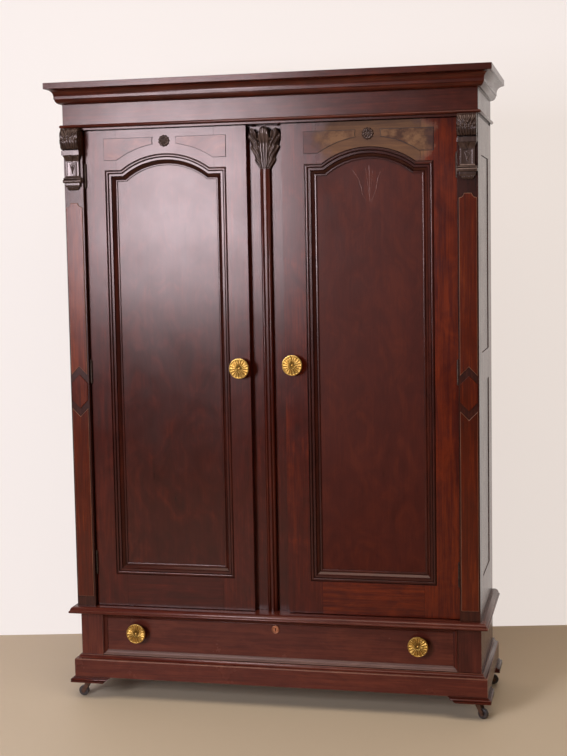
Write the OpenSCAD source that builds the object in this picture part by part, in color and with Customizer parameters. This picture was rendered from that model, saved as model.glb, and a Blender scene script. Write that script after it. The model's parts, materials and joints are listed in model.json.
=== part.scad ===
// Two-door wardrobe over one long drawer, built to come apart: a cornice unit, an upper case and a
// base on casters. Millimetres, Z up, front towards -Y. The origin is on the floor, under the middle
// of the wardrobe's box. Inside the modules, y = 0 is the plane of the pilaster faces.

/* [Case] */
// Width over the corner posts
case_w = 1400; // [1300:5:1500]
// Depth from the pilaster faces to the back
case_d = 470; // [430:5:520]
// Total height, from the floor to the top of the cornice
total_h = 2134; // [2000:1:2250]
// Width of each corner post
post_w = 66.5; // [62:0.5:80]
// Depth of each corner post
post_d = 60; // [56:1:75]
// Thickness of the side frames
side_t = 25; // [22:1:32]
// Thickness of the back frame
back_t = 18; // [16:1:22]
// Thickness of the case floor and the case top
board_t = 18; // [15:1:22]
// Thickness of the thin panels in the sides and the back
thin_panel_t = 8; // [6:1:10]
// Depth of the side panels below the faces of their frames
side_sink = 13; // [8:1:15]

/* [Cornice] */
// How far the cornice stands out from the frieze
cornice_proj = 48; // [42:1:56]
// Height of the flat band at the top of the cornice
fascia_h = 20; // [14:1:28]
// Radius of the hollow under the flat band
cove_r = 23; // [18:1:26]
// Height of the frieze, from the door head to the cornice
frieze_h = 86.5; // [76:0.5:100]
// Thickness of the frieze boards
frieze_t = 22; // [18:1:26]
// Height of the half-round bead under the frieze
bead_h = 11; // [8:1:14]
// How far the bead stands out
bead_proj = 10; // [8:1:13]

/* [Base] */
// Height of the casters
caster_h = 62; // [58:1:72]
// Height of the foot pads
pad_h = 19; // [15:1:24]
// How far the foot pads stand out from the plinth
pad_proj = 12.5; // [9:0.5:16]
// Length of the foot pads along the front, at their foot
pad_l = 117; // [105:1:135]
// Height of the plinth
plinth_h = 76; // [64:1:90]
// How far the plinth stands out from the base
plinth_proj = 21.5; // [18:0.5:26]
// Height of the base between the plinth and its top board
base_h = 157; // [140:1:180]
// How far the front of the base lies behind the pilaster faces
base_setback = 29; // [24:1:36]
// Width of the front posts of the base
base_post_w = 77; // [70:1:90]
// Thickness of the base top board, whose edge is the waist moulding
waist_h = 23; // [19:1:28]
// How far the waist moulding stands out from the case
waist_proj = 26; // [20:1:32]

/* [Doors] */
// Distance of each door's closing edge from the middle of the centre stile
door_in = 60; // [56:1:66]
// Setback of the door faces behind the pilaster faces
door_y = 20; // [19:0.5:26]
// Thickness of the doors
door_t = 28; // [26:1:32]
// Gap above, below and at the hinge edge of each door
door_gap = 2.5; // [2:0.1:3.5]
// Plain face between the doors' edges and their mouldings, on average
door_margin = 72.25; // [64:0.25:82]
// Plain face below the moulding
door_foot = 109; // [90:1:130]
// Face above the shoulders of the moulding
door_head = 132.5; // [122:0.5:150]
// Half the width of the arch at its springing
arch_half = 156; // [140:1:166]
// Rise of the arch above the shoulders
arch_rise = 51; // [42:1:58]
// Width of the moulding round the panel
mould_w = 41; // [39:1:46]
// Depth of the panel below the face of the door frame
panel_sink = 20; // [19:0.5:21]
// Thickness of the door panels
panel_t = 7; // [5:0.5:7.5]
// Distance of the spandrel pieces outside the arch
spandrel_off = 33; // [28:1:38]
// Thickness of the spandrel pieces
spandrel_t = 2.5; // [1.5:0.5:4]
// Depth of the spandrel pieces' top edge below the door's top edge
spandrel_top = 27; // [22:1:32]
// Radius of the carved rosettes
rosette_r = 20; // [17:0.5:22]
// Number of petals on each rosette
petals = 10; // [8:1:14]
// Height of the left door's knob above the case floor
left_knob_h = 833; // [700:1:950]
// How much higher the right door's knob is
knob_step = 11; // [0:1:20]
// Distance of each knob from its door's closing edge
knob_in = 31; // [28:1:40]

/* [Hardware] */
// Diameter of the brass knobs
knob_d = 70; // [56:1:76]
// How far the knobs stand out
knob_proj = 35; // [30:1:42]
// Number of flutes on each knob
flutes = 18; // [12:1:24]
// Height of each hinge
hinge_h = 76; // [60:1:90]
// Distance of the top and bottom hinges from the ends of the door
hinge_end = 150; // [110:1:220]
// Radius of the hinge knuckles
knuckle_r = 3.6; // [3.2:0.1:3.6]
// Radius of the hinge pins
pin_r = 1.75; // [1.4:0.05:2.2]
// Running clearance round pins, axles and swivels
run_gap = 0.05; // [0.02:0.01:0.1]
// Radius of the caster wheels
wheel_r = 18; // [16:0.5:20]
// Width of the caster wheels
wheel_w = 14; // [11:0.5:18]
// Distance from a caster's swivel to its wheel's axle
trail = 22; // [16:0.5:26]
// Angle that each caster trails at: front left, front right, rear left, rear right
caster_turn = [180, -28, 160, 12];

/* [Pilasters] */
// Width of the raised panels on the pilasters
field_w = 57; // [50:1:62]
// Height of the raised panels above the pilaster face
field_t = 3; // [2:0.5:4]
// Depth of the plain ground below the bead, down to the raised panel
field_top = 251; // [230:1:280]
// Height of the plain ground above the case floor
field_foot = 36; // [20:1:60]
// Height of the middle of the pointed block above the case floor
lozenge_mid = 752.5; // [650:0.5:850]
// Height of the pointed block from tip to tip
lozenge_h = 117; // [90:1:140]
// Height of each point
lozenge_tip = 29; // [20:1:36]
// Band of ground above and below the pointed block
lozenge_band = 28; // [16:1:36]
// Width of the corbels across the scroll
corbel_w = 66; // [60:1:76]
// How far the scrolls stand out
corbel_proj = 42; // [34:1:48]
// Height of the corbels
corbel_h = 209; // [190:1:225]

/* [Centre stile] */
// How far the middle of the centre stile lies to the right of the wardrobe's middle
stile_off = -6; // [-10:0.5:10]
// Overlap of each door over the centre stile
stile_lap = 12; // [9:1:15]
// Thickness of the centre stile
stile_t = 20; // [16:1:24]
// Width of the reeded column
column_w = 35; // [30:1:42]
// How far the column stands out
column_proj = 22; // [18:1:26]
// Width of the leaf capital
capital_w = 115; // [100:1:115]
// Height of the leaf capital
capital_h = 140; // [120:1:160]
// How far the leaf tips stand out
capital_proj = 42; // [34:1:46]
// Number of ribs on the capital
capital_ribs = 9; // [7:2:13]

/* [Drawer] */
// Gap between the drawer box and the back of the base
drawer_clear = 19; // [8:1:60]
// Thickness of the drawer front
drawer_front_t = 20; // [18:1:24]
// Thickness of the drawer sides and back
drawer_side_t = 12; // [10:1:15]
// Width of the border moulding on the drawer front
border_w = 16; // [13:1:20]
// How far the border's outer edge stands out from the base face
border_proj = 2; // [1:0.5:4]
// Depth of the drawer's field below the base face
field_sink = 9; // [6:0.5:12]
// Diameter of the keyhole plate
escutcheon_d = 28; // [22:1:32]
// Distance of the drawer knobs from the middle
drawer_knob_x = 492; // [420:1:540]
// Height of the drawer knobs above the middle of the drawer front
knob_lift = 12; // [0:0.5:30]
// Gap round the drawer front
drawer_gap = 2; // [1.5:0.1:3]

/* [Inside] */
// Diameter of the hanging rod
rod_d = 28; // [22:1:35]
// Distance of the rod below the door head
rod_drop = 96; // [80:1:110]

/* [Hidden] */
$fn = 64;

// Colours of the finishes
mahogany = "#4a2119";
dark_mahogany = "#2e1712";
panel_brown = "#5a3420";
burl = "#7a5634";
pine = "#b98d5e";
brass = "#c79a3e";
iron = "#3a3533";

// Gaps
fit = 0.3;
seat_gap = 0.1;
joint_gap = 0.4;
mitre_gap = 0.15;
far = 4000;

// Heights of the main parts, from the floor up
pad_z = caster_h;
plinth_z = pad_z + pad_h;
base_z = plinth_z + plinth_h;
waist_z = base_z + base_h;
floor_z = waist_z + waist_h;
cornice_cove_foot = cornice_proj - 3 - cove_r;
cornice_ovolo_r = cornice_cove_foot - 4;
cornice_step_h = 8;
cornice_h = fascia_h + 1 + cove_r + cornice_step_h + cornice_ovolo_r + 1;
cornice_z = total_h - cornice_h;
head_z = cornice_z - frieze_h;
fillet_h = 7.5;
bead_z = head_z + fillet_h;
lid_t = 12;

// Plan of the case
half_w = case_w / 2;
face_y = (cornice_proj - case_d) / 2;
post_in = half_w - post_w;
post_x = half_w - post_w / 2;
side_in = half_w - side_t;

// Doors
door_out = post_in - door_gap;
door_w = door_out - door_in;
door_z0 = floor_z + door_gap;
door_z1 = head_z - door_gap;
door_back = door_y + door_t;
outline_w = door_w / 2 - door_margin;
outline_z0 = door_z0 + door_foot;
outline_z1 = door_z1 - door_head;
arch_r = (arch_half * arch_half + arch_rise * arch_rise) / (2 * arch_rise);
arch_z = outline_z1 + arch_rise - arch_r;
mould_seat = mould_w - 19;
mould_rebate = 14;
panel_lap = 10;
rosette_z = door_z1 - 40.5;

// Closing edge, half width and middle of the right door, side 0, and of the left door, side 1
function door_edge(side) = door_in + (side == 0 ? stile_off : -stile_off);
function door_half(side) = (door_out - door_edge(side)) / 2;
function door_mid(side) = (door_out + door_edge(side)) / 2;

// Moulding round the door panel: its members from the outer edge inwards
lip_w = 1.2;
mould_bead_r = 4.2;
quirk_w = 2.4;
fillet_w = 8;
fillet_d = 6;
mould_cove_r = 7;
cove_d = fillet_d - 1 + mould_cove_r;
ovolo_r = panel_sink - cove_d;
bead_u = lip_w + mould_bead_r;
fillet_u = lip_w + 2 * mould_bead_r + quirk_w;
cove_u = fillet_u + fillet_w;
ovolo_u = cove_u + mould_cove_r + 1.5;

// Hinges, with their pins in front of the door faces
hinge_x = post_in - 3.8;
hinge_y = door_y - knuckle_r - fit;
leaf_t = 2.1;
leaf_inset = 1.5;
leaf_w = 24;
knuckles = 5;
knuckle_h = hinge_h / knuckles;
hinge_zs = [door_z0 + hinge_end, (door_z0 + door_z1) / 2, door_z1 - hinge_end];

// Ball catches and their strikes
catch_in = 30;
catch_y = door_y + 14;
catch_r = 5.5;
ball_r = 4.75;
strike_t = 1.2;

// Centre stile
stile_w = 2 * (door_in + stile_lap);
stile_y = door_back + 0.5;
stile_head = 5.5;
dowel_r = 4;
dowel_x = 42;
stop_h = 26;
stop_t = 22;
capital_z = head_z - stile_head - 1 - capital_h;

// Base and drawer
base_side_t = 20;
base_post_d = 45;
base_in = half_w - base_post_w;
base_back = base_setback + base_post_d;
rail_h = 9;
drawer_w = 2 * (base_in - drawer_gap);
drawer_z0 = base_z + drawer_gap;
drawer_z1 = waist_z - rail_h - drawer_gap;
drawer_face = base_setback + field_sink;
drawer_box_y = drawer_face + drawer_front_t;
drawer_d = case_d - back_t - drawer_clear - drawer_box_y;
drawer_box_w = drawer_w - 1;
drawer_box_z1 = drawer_z1 - 11;
drawer_floor_z = drawer_z0 + 8;
drawer_floor_t = 6;
runner_z = drawer_z0 - fit;
kicker_z = drawer_box_z1 + 2;
lock_z = drawer_z1 - border_w - escutcheon_d / 2 - 0.6;
knob_bolt_r = 3;

// Casters
plate_t = 2.5;
plate_r = 22;
stem_r = 4;
socket_r = 7;
socket_l = 30;
crown_r = 14;
crown_h = 5;
crown_gap = 0.3;
axle_r = 2.6;
horn_t = 3;
horn_gap = 0.8;
caster_inset = 16;
caster_x = half_w - caster_inset;
caster_front_y = base_setback + 23;
caster_rear_y = case_d - 50;
casters = [
    [-caster_x, caster_front_y, caster_turn[0]],
    [caster_x, caster_front_y, caster_turn[1]],
    [-caster_x, caster_rear_y, caster_turn[2]],
    [caster_x, caster_rear_y, caster_turn[3]]];

// Puts what is drawn from the pilaster plane at its place over the origin
module placed() {
    translate([0, face_y, 0]) children();
}

// A board between two corners
module board(x0, x1, y0, y1, z0, z1) {
    translate([x0, y0, z0]) cube([x1 - x0, y1 - y0, z1 - z0]);
}

// A front outline in x and z, as a solid from y0 back to y1
module upright(y0, y1) {
    translate([0, y1, 0]) rotate([90, 0, 0]) linear_extrude(y1 - y0) children();
}

// A section in projection and height, run along x for a length either side of the middle
module front_run(reach) {
    translate([reach, 0, 0]) rotate([90, 0, -90]) linear_extrude(2 * reach) children();
}

// The same section run along y on the right-hand side, from y0 back to y1
module side_run(x, y0, y1) {
    translate([x, y1, 0]) rotate([90, 0, 0]) linear_extrude(y1 - y0) children();
}

// A section mitred round the front and both sides: three lengths, of a case w wide that starts at y
module surround(w, y, depth, proj) {
    intersection() {
        translate([0, y, 0]) front_run(w / 2 + proj) children();
        linear_extrude(far) polygon([[-w / 2, y], [w / 2, y], [w / 2 + proj, y - proj],
            [-w / 2 - proj, y - proj]]);
    }
    for (side = [0, 1]) mirror([side, 0, 0]) intersection() {
        side_run(w / 2, y - proj, depth) children();
        linear_extrude(far) polygon([[w / 2, y + mitre_gap], [w / 2 + proj, y - proj + mitre_gap],
            [w / 2 + proj, depth], [w / 2, depth]]);
    }
}

// Cornice unit

module cornice_section() {
    cove_z = cornice_z + 1 + cornice_ovolo_r + cornice_step_h;
    ovolo_z = cornice_z + 1 + cornice_ovolo_r;
    translate([0, total_h - fascia_h]) square([cornice_proj, fascia_h]);
    difference() {
        translate([0, cove_z - 1]) square([cornice_proj - 3, cove_r + 2.5]);
        translate([cornice_proj - 3, cove_z]) circle(cove_r);
        translate([cornice_cove_foot, cove_z - 2]) square([far, 2]);
    }
    translate([0, ovolo_z - 1]) square([cornice_cove_foot, cornice_step_h + 1]);
    intersection() {
        translate([2, ovolo_z]) circle(cornice_ovolo_r);
        translate([0, cornice_z]) square([cornice_proj, cornice_ovolo_r + 1]);
    }
    translate([0, cornice_z]) square([2, cornice_ovolo_r + 1]);
}

module cornice_moulding() {
    color(mahogany) placed() surround(case_w, 0, case_d, cornice_proj) cornice_section();
}

module cornice_top() {
    color(pine) placed() board(-half_w, half_w, 0, case_d, total_h - lid_t, total_h);
}

module frieze() {
    top = total_h - lid_t;
    color(mahogany) placed() {
        difference() {
            board(-half_w, half_w, 0, frieze_t, head_z, top);
            board(-far, far, -1, 3, head_z - 1, bead_z);
        }
        for (side = [0, 1]) mirror([side, 0, 0]) difference() {
            board(half_w - frieze_t, half_w, frieze_t + joint_gap, case_d - frieze_t - joint_gap,
                head_z, top);
            board(half_w - 3, far, 0, case_d, head_z - 1, bead_z);
        }
        board(-half_w, half_w, case_d - frieze_t, case_d, head_z, top);
    }
}

module bead_section() {
    translate([0, bead_z]) square([bead_proj - bead_h / 2, bead_h]);
    translate([bead_proj - bead_h / 2, bead_z + bead_h / 2]) circle(bead_h / 2);
}

module frieze_bead() {
    color(mahogany) placed() surround(case_w, 0, case_d, bead_proj) intersection() {
        bead_section();
        translate([0, bead_z]) square([bead_proj, bead_h]);
    }
}

// Upper case

// Rails and stiles of a side, from the back of the corner post to the back of the case
side_front_w = 48;
side_rear_w = 114;
side_foot_h = 126;
side_head_h = 117.5;
side_mid_z = 774;
side_mid_h = 102;
panel_y0 = post_d + side_front_w;
panel_y1 = case_d - side_rear_w;
low_z0 = floor_z + side_foot_h;
low_z1 = floor_z + side_mid_z;
high_z0 = low_z1 + side_mid_h;
high_z1 = head_z - side_head_h;
side_groove = 9;

module side_frame(side) {
    color(mahogany) placed() mirror([side, 0, 0]) difference() {
        union() {
            board(side_in, half_w, post_d, panel_y0, floor_z, head_z);
            board(side_in, half_w, panel_y1, case_d, floor_z, head_z);
            for (zs = [[floor_z, low_z0], [low_z1, high_z0], [high_z1, head_z]])
                board(side_in, half_w, panel_y0 + joint_gap, panel_y1 - joint_gap, zs[0], zs[1]);
        }
        for (zs = [[low_z0, low_z1], [high_z0, high_z1]])
            board(side_panel_x - fit, side_panel_x + thin_panel_t + fit, panel_y0 - side_groove - fit,
                panel_y1 + side_groove + fit, zs[0] - side_groove - fit, zs[1] + side_groove + fit);
    }
}
side_panel_x = half_w - side_sink - thin_panel_t;

module side_panels() {
    color(mahogany) placed() for (side = [0, 1]) mirror([side, 0, 0])
        for (zs = [[low_z0, low_z1], [high_z0, high_z1]])
            board(side_panel_x, side_panel_x + thin_panel_t, panel_y0 - side_groove,
                panel_y1 + side_groove, zs[0] - side_groove, zs[1] + side_groove);
}

module pilaster(side) {
    color(dark_mahogany) placed() mirror([side, 0, 0]) difference() {
        board(post_in, half_w, 0, post_d, floor_z, head_z);
        for (z = hinge_zs)
            board(post_in - 1, post_in + leaf_inset, hinge_y - 1.8, door_y + leaf_w + fit,
                z - hinge_h / 2 - fit, z + hinge_h / 2 + fit);
    }
}

// Half the width of a raised panel's flat top, and the drop of its shoulders
field_flat = 13;
field_drop = 14;
loz_z = floor_z + lozenge_mid;

module field_outline_top() {
    top = bead_z - field_top;
    foot = loz_z + lozenge_h / 2 + lozenge_band;
    difference() {
        polygon([[-field_w / 2, foot - lozenge_tip], [0, foot], [field_w / 2, foot - lozenge_tip],
            [field_w / 2, top - field_drop], [field_flat + field_drop, top - field_drop],
            [field_flat + field_drop, top], [-field_flat - field_drop, top],
            [-field_flat - field_drop, top - field_drop], [-field_w / 2, top - field_drop]]);
        for (side = [-1, 1]) translate([side * (field_flat + field_drop), top]) circle(field_drop);
    }
}

module field_outline_foot() {
    top = loz_z - lozenge_h / 2 - lozenge_band;
    polygon([[-field_w / 2, floor_z + field_foot], [field_w / 2, floor_z + field_foot],
        [field_w / 2, top + lozenge_tip], [0, top], [-field_w / 2, top + lozenge_tip]]);
}

module pilaster_panels() {
    color(panel_brown) placed() for (side = [-1, 1]) translate([side * post_x, 0, 0])
        upright(-field_t, 0) {
            field_outline_top();
            field_outline_foot();
        }
}

module pilaster_lozenges() {
    half_h = lozenge_h / 2;
    color(panel_brown) placed() for (side = [-1, 1]) translate([side * post_x, 0, loz_z])
        upright(-field_t, 0) polygon([[0, half_h], [field_w / 2, half_h - lozenge_tip],
            [field_w / 2, lozenge_tip - half_h], [0, -half_h], [-field_w / 2, lozenge_tip - half_h],
            [-field_w / 2, half_h - lozenge_tip]]);
}

// Corbel: a scroll, a block, a hollow neck, a collar, a tail box and a boss, as seen from the side
scroll_h = 76;
scroll_back = 16;
block_h = 15;
block_z = -scroll_h - block_h;
block_out = 0.62 * corbel_proj;
hollow_h = 22;
neck_out = 9;
neck_in = 9;
collar_h = 16;
collar_out = 0.4 * corbel_proj;
tail_box_h = 13;
collar_z = -corbel_h + 11 + tail_box_h;

// Points along an ellipse round x, y with the half sizes rx, ry, from one angle to another
function bow(x, y, rx, ry, from, to, n) =
    [for (i = [0:n]) let (a = from + (to - from) * i / n) [x + rx * cos(a), y + ry * sin(a)]];

module corbel_profile() {
    hollow_z = block_z - hollow_h;
    collar_top = collar_z + collar_h;
    polygon(concat([[0, 0]],
        bow(scroll_back, -scroll_h / 2, corbel_proj - scroll_back, scroll_h / 2, 90, -90, 24),
        [[block_out, -scroll_h], [block_out, block_z]],
        bow(block_out - 3, hollow_z, block_out - 3 - neck_out, hollow_h, 90, 180, 8),
        [[neck_out, collar_top + 3], [collar_out - 2, collar_top + 3], [collar_out - 2, collar_top]],
        bow(collar_out - 5, collar_z + collar_h / 2, 5, collar_h / 2 - 1.5, 90, -90, 10),
        [[collar_out - 5, collar_z], [0.3 * corbel_proj, collar_z]],
        [[0.3 * corbel_proj, collar_z - tail_box_h]],
        bow(0, collar_z - tail_box_h, 0.26 * corbel_proj, 11, 0, -72, 7),
        [[0, -corbel_h + 0.6]]));
}

module corbel_front() {
    w = corbel_w / 2;
    neck_w = w - neck_in;
    half = concat([[w, 0], [w, -scroll_h], [w - 1, -scroll_h], [w - 1, block_z]],
        bow(w - 2, block_z - hollow_h, w - 2 - neck_w, hollow_h, 90, 180, 8),
        [[neck_w, collar_z + collar_h + 3], [w - 1.5, collar_z + collar_h + 3], [w - 1.5, collar_z]],
        [[w - 6, collar_z], [w - 6, collar_z - tail_box_h]],
        bow(0, collar_z - tail_box_h, w - 12, 11, 0, -72, 7));
    polygon(concat(half, [for (i = [len(half) - 1:-1:0]) [-half[i][0], half[i][1]]]));
}

module corbel(side) {
    color(dark_mahogany) placed() translate([side * post_x, 0, bead_z]) intersection() {
        translate([-corbel_w / 2, 0, 0]) rotate([90, 0, -90]) translate([0, 0, -corbel_w])
            linear_extrude(corbel_w) corbel_profile();
        upright(-corbel_proj - 1, 0) corbel_front();
    }
}

// Centre stile, with its dowels, column and capital

module centre_stile() {
    color(mahogany) placed() translate([stile_off, 0, 0]) {
        board(-stile_w / 2, stile_w / 2, stile_y, stile_y + stile_t, floor_z, head_z - stile_head);
        for (side = [-1, 1]) translate([side * dowel_x, stile_y + stile_t / 2, 0]) {
            translate([0, 0, head_z - stile_head - 25]) cylinder(r = dowel_r, h = stile_head + 39);
            translate([0, 0, floor_z - 14]) cylinder(r = dowel_r, h = 30);
        }
    }
}

module column_plan() {
    reed = column_w / 6;
    intersection() {
        union() {
            circle(column_w / 2);
            translate([0, -column_proj + reed]) circle(reed + 0.8);
            for (side = [-1, 1]) translate([side * (reed * 1.9), -column_proj * 0.62]) circle(reed);
        }
        translate([-column_w / 2, -column_proj]) square([column_w, column_proj]);
    }
}

module reeded_column() {
    color(mahogany) placed() translate([stile_off, stile_y, floor_z])
        linear_extrude(capital_z - floor_z) difference() {
            column_plan();
            for (side = [-1, 1]) translate([side * column_w * 0.17, -column_proj])
                circle(column_w * 0.055);
        }
}

// Leaf capital: rings of a flaring, ribbed half bell, higher in the middle than at the sides
cap_rows = 15;
cap_cols = 36;
cap_foot = column_w / 2 + 4;
function cap_half(t) = cap_foot + (capital_w / 2 - cap_foot) * pow(sin(min(90, 140 * t)), 1.15)
    - 3 * abs(sin(540 * t)) * t * (1 - t) * 4;
function cap_out(t) = column_proj - 3 + 5 * t + (capital_proj - column_proj - 2) * pow(t, 3.5);
function cap_rib(a, t) = 1 + (0.05 + 0.07 * t) * cos(2 * capital_ribs * (a - 90));
function cap_top(a) = 1 - 0.14 * pow(abs(cos(a)), 2.5) + 0.02 * (cos(2 * capital_ribs * (a - 90)) - 1);
function cap_point(a, t) = [
    min(1, cap_rib(a, t)) * cap_half(t) * cos(a),
    -min(1, cap_rib(a, t)) * cap_out(t) * sin(a),
    capital_h * t * (1 + (cap_top(a) - 1) * t * t)];
function cap_ring(t) = [for (j = [0:cap_cols]) cap_point(180 * j / cap_cols, t)];

module leaf_capital() {
    n = cap_cols + 1;
    rings = [for (i = [0:cap_rows]) for (p = cap_ring(i / cap_rows)) p];
    foot = len(rings);
    crown = foot + 1;
    points = concat(rings, [[0, -4, 0], [0, -4, capital_h * 0.93]]);
    wall = [for (i = [0:cap_rows - 1]) for (j = [0:cap_cols - 1])
        for (tri = [[i * n + j, i * n + j + 1, (i + 1) * n + j + 1],
            [i * n + j, (i + 1) * n + j + 1, (i + 1) * n + j]]) tri];
    back = [for (i = [0:cap_rows - 1])
        for (tri = [[i * n + n - 1, i * n, (i + 1) * n], [i * n + n - 1, (i + 1) * n, (i + 2) * n - 1]])
            tri];
    top = cap_rows * n;
    ends = [for (j = [0:cap_cols - 1]) for (tri = [[foot, j + 1, j], [crown, top + j, top + j + 1]]) tri];
    shut = [[foot, 0, n - 1], [crown, top + n - 1, top]];
    color(dark_mahogany) placed() translate([stile_off, stile_y, capital_z])
        polyhedron(points, concat(wall, back, ends, shut));
}

// Back: three stiles and three rails round four panels
back_x = side_in - fit;
back_y = case_d - back_t;
back_rail = 90;
back_mid_z = (floor_z + head_z) / 2;
back_fields = [[floor_z + back_rail, back_mid_z - back_rail / 2],
    [back_mid_z + back_rail / 2, head_z - back_rail]];
back_groove = 8;

module back_frame() {
    color(pine) placed() difference() {
        union() {
            for (xs = [[-back_x, back_rail - back_x], [-back_rail / 2, back_rail / 2],
                    [back_x - back_rail, back_x]])
                board(xs[0], xs[1], back_y, case_d, floor_z, head_z);
            for (side = [0, 1]) mirror([side, 0, 0])
                for (zs = [[floor_z, back_fields[0][0]], [back_fields[0][1], back_fields[1][0]],
                        [back_fields[1][1], head_z]])
                    board(back_rail / 2 + joint_gap, back_x - back_rail - joint_gap, back_y, case_d,
                        zs[0], zs[1]);
        }
        for (side = [0, 1]) mirror([side, 0, 0]) for (zs = back_fields)
            board(back_rail / 2 - back_groove - fit, back_x - back_rail + back_groove + fit,
                back_y + 5 - fit, back_y + 5 + thin_panel_t + fit, zs[0] - back_groove - fit,
                zs[1] + back_groove + fit);
    }
}

module back_panels() {
    color(pine) placed() for (side = [0, 1]) mirror([side, 0, 0]) for (zs = back_fields)
        board(back_rail / 2 - back_groove, back_x - back_rail + back_groove, back_y + 5,
            back_y + 5 + thin_panel_t, zs[0] - back_groove, zs[1] + back_groove);
}

// Cuts for the centre stile and its dowels in the floor and the head
module stile_notch(z0, z1) {
    board(stile_off - stile_w / 2 - fit, stile_off + stile_w / 2 + fit, 0, stile_y + stile_t + fit, z0, z1);
}

module case_top() {
    color(pine) placed() {
        difference() {
            board(frieze_t - half_w + fit, half_w - frieze_t - fit, frieze_t + fit,
                case_d - frieze_t - fit, head_z + fit, head_z + board_t);
            for (side = [-1, 1]) translate([stile_off + side * dowel_x, stile_y + stile_t / 2, head_z - 1])
                cylinder(r = dowel_r + fit, h = 15.5);
        }
        difference() {
            board(-post_in, post_in, stile_y, stile_y + stop_t, head_z - stop_h, head_z);
            stile_notch(head_z - stop_h - 1, head_z + 1);
        }
    }
}

module case_floor() {
    color(pine) placed() difference() {
        union() {
            board(-post_in + fit, post_in - fit, stile_y, post_d + fit, floor_z, floor_z + board_t);
            board(-side_in + fit, side_in - fit, post_d + fit, back_y - fit, floor_z,
                floor_z + board_t);
        }
        stile_notch(floor_z - 1, floor_z + board_t + 1);
    }
}

// Hanging rod in two turned sockets
rod_y = 265;
rod_z = head_z - rod_drop;
socket_t = 12;

module hanging_rod() {
    color(pine) placed() translate([fit * 2 + 4 - side_in, rod_y, rod_z]) rotate([0, 90, 0])
        cylinder(d = rod_d, h = 2 * (side_in - fit * 2 - 4));
}

module rod_sockets() {
    color(mahogany) placed() for (side = [0, 1]) mirror([side, 0, 0]) difference() {
        translate([side_in, rod_y, rod_z]) rotate([0, -90, 0])
            rotate_extrude() polygon([[0, 0], [rod_d / 2 + 10, 0], [rod_d / 2 + 10, 3],
                [rod_d / 2 + 6, 6], [rod_d / 2 + 6, socket_t], [0, socket_t]]);
        translate([side_in - 4, rod_y, rod_z]) rotate([0, -90, 0])
            cylinder(r = rod_d / 2 + fit, h = socket_t);
    }
}

// Base

module waist_section() {
    nose = 9;
    step_r = waist_h - nose;
    step_p = waist_proj - 4 - step_r;
    translate([0, waist_z]) square([waist_proj - nose / 2, nose]);
    translate([waist_proj - nose / 2, waist_z + nose / 2]) circle(nose / 2);
    translate([0, waist_z]) square([step_p, waist_h]);
    intersection() {
        translate([step_p, waist_z + nose]) circle(step_r);
        translate([0, waist_z + nose - 1]) square([waist_proj, step_r + 1]);
    }
}

module waist_moulding() {
    color(mahogany) placed() surround(case_w, 0, case_d, waist_proj) waist_section();
}

module base_frame() {
    rail_low = base_z - 37;
    color(mahogany) placed() {
        difference() {
            board(-half_w, half_w, 0, case_d, waist_z + seat_gap, floor_z);
            for (side = [-1, 1])
                translate([stile_off + side * dowel_x, stile_y + stile_t / 2, floor_z - 14.5]) cylinder(r = dowel_r + fit, h = 15);
        }
        for (side = [0, 1]) mirror([side, 0, 0]) {
            difference() {
                board(base_in, half_w, base_setback, base_back, plinth_z, waist_z);
                translate([caster_x, caster_front_y, 0]) cylinder(r = socket_r + fit, h = pad_z + socket_l + 1);
            }
            difference() {
                board(half_w - 45, half_w, case_d - 72, case_d, plinth_z, waist_z);
                translate([caster_x, caster_rear_y, 0]) cylinder(r = socket_r + fit, h = pad_z + socket_l + 1);
            }
            board(half_w - base_side_t, half_w, base_back + joint_gap, case_d - 72 - joint_gap,
                plinth_z + 20, waist_z);
        }
        board(-base_in + joint_gap, base_in - joint_gap, base_setback, base_back, waist_z - rail_h,
            waist_z);
        board(-base_in + joint_gap, base_in - joint_gap, base_setback, base_back, rail_low, base_z);
        board(45 + joint_gap - half_w, half_w - 45 - joint_gap, case_d - back_t, case_d,
            plinth_z + 20, waist_z);
    }
}

module drawer_runners() {
    x1 = half_w - base_side_t;
    y0 = base_back + joint_gap;
    y1 = case_d - 72 - joint_gap;
    color(pine) placed() for (side = [0, 1]) mirror([side, 0, 0]) {
        board(drawer_w / 2 - 25, x1, y0, y1, runner_z - 22, runner_z);
        board(base_in, x1, y0, y1, runner_z, runner_z + 25);
        board(drawer_w / 2 - 25, x1, y0, y1, kicker_z, waist_z);
    }
}

module plinth_section() {
    cove = 12;
    translate([0, plinth_z]) square([plinth_proj, plinth_h - cove - 3]);
    translate([0, base_z - cove - 4]) square([plinth_proj - 1.5, 4]);
    difference() {
        translate([0, base_z - cove - 1]) square([plinth_proj - 3, cove + 1]);
        translate([plinth_proj - 3, base_z]) circle(cove);
    }
}

module plinth() {
    color(mahogany) placed() surround(case_w, base_setback, case_d, plinth_proj) plinth_section();
}

// Foot pads: moulded blocks under the corners of the plinth, with sloped inner ends
pad_x = half_w + plinth_proj;
pad_y = base_setback - plinth_proj;
pad_slope = 27;

module pad_section() {
    nose = 4;
    translate([0, pad_z]) square([pad_proj, 6]);
    translate([0, pad_z]) square([pad_proj - nose, pad_h - 4]);
    translate([pad_proj - nose, pad_z + 6 + nose]) circle(nose);
    translate([0, pad_z]) square([pad_proj / 2 - 2, pad_h]);
}

// Keeps what lies on the outer side of a sloped cut, seen from the front
module pad_slope_keep(inner) {
    upright(-far, far) polygon([[inner, pad_z - 1], [inner - pad_slope, pad_z + pad_h],
        [far, pad_z + pad_h], [far, pad_z - 1]]);
}

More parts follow.
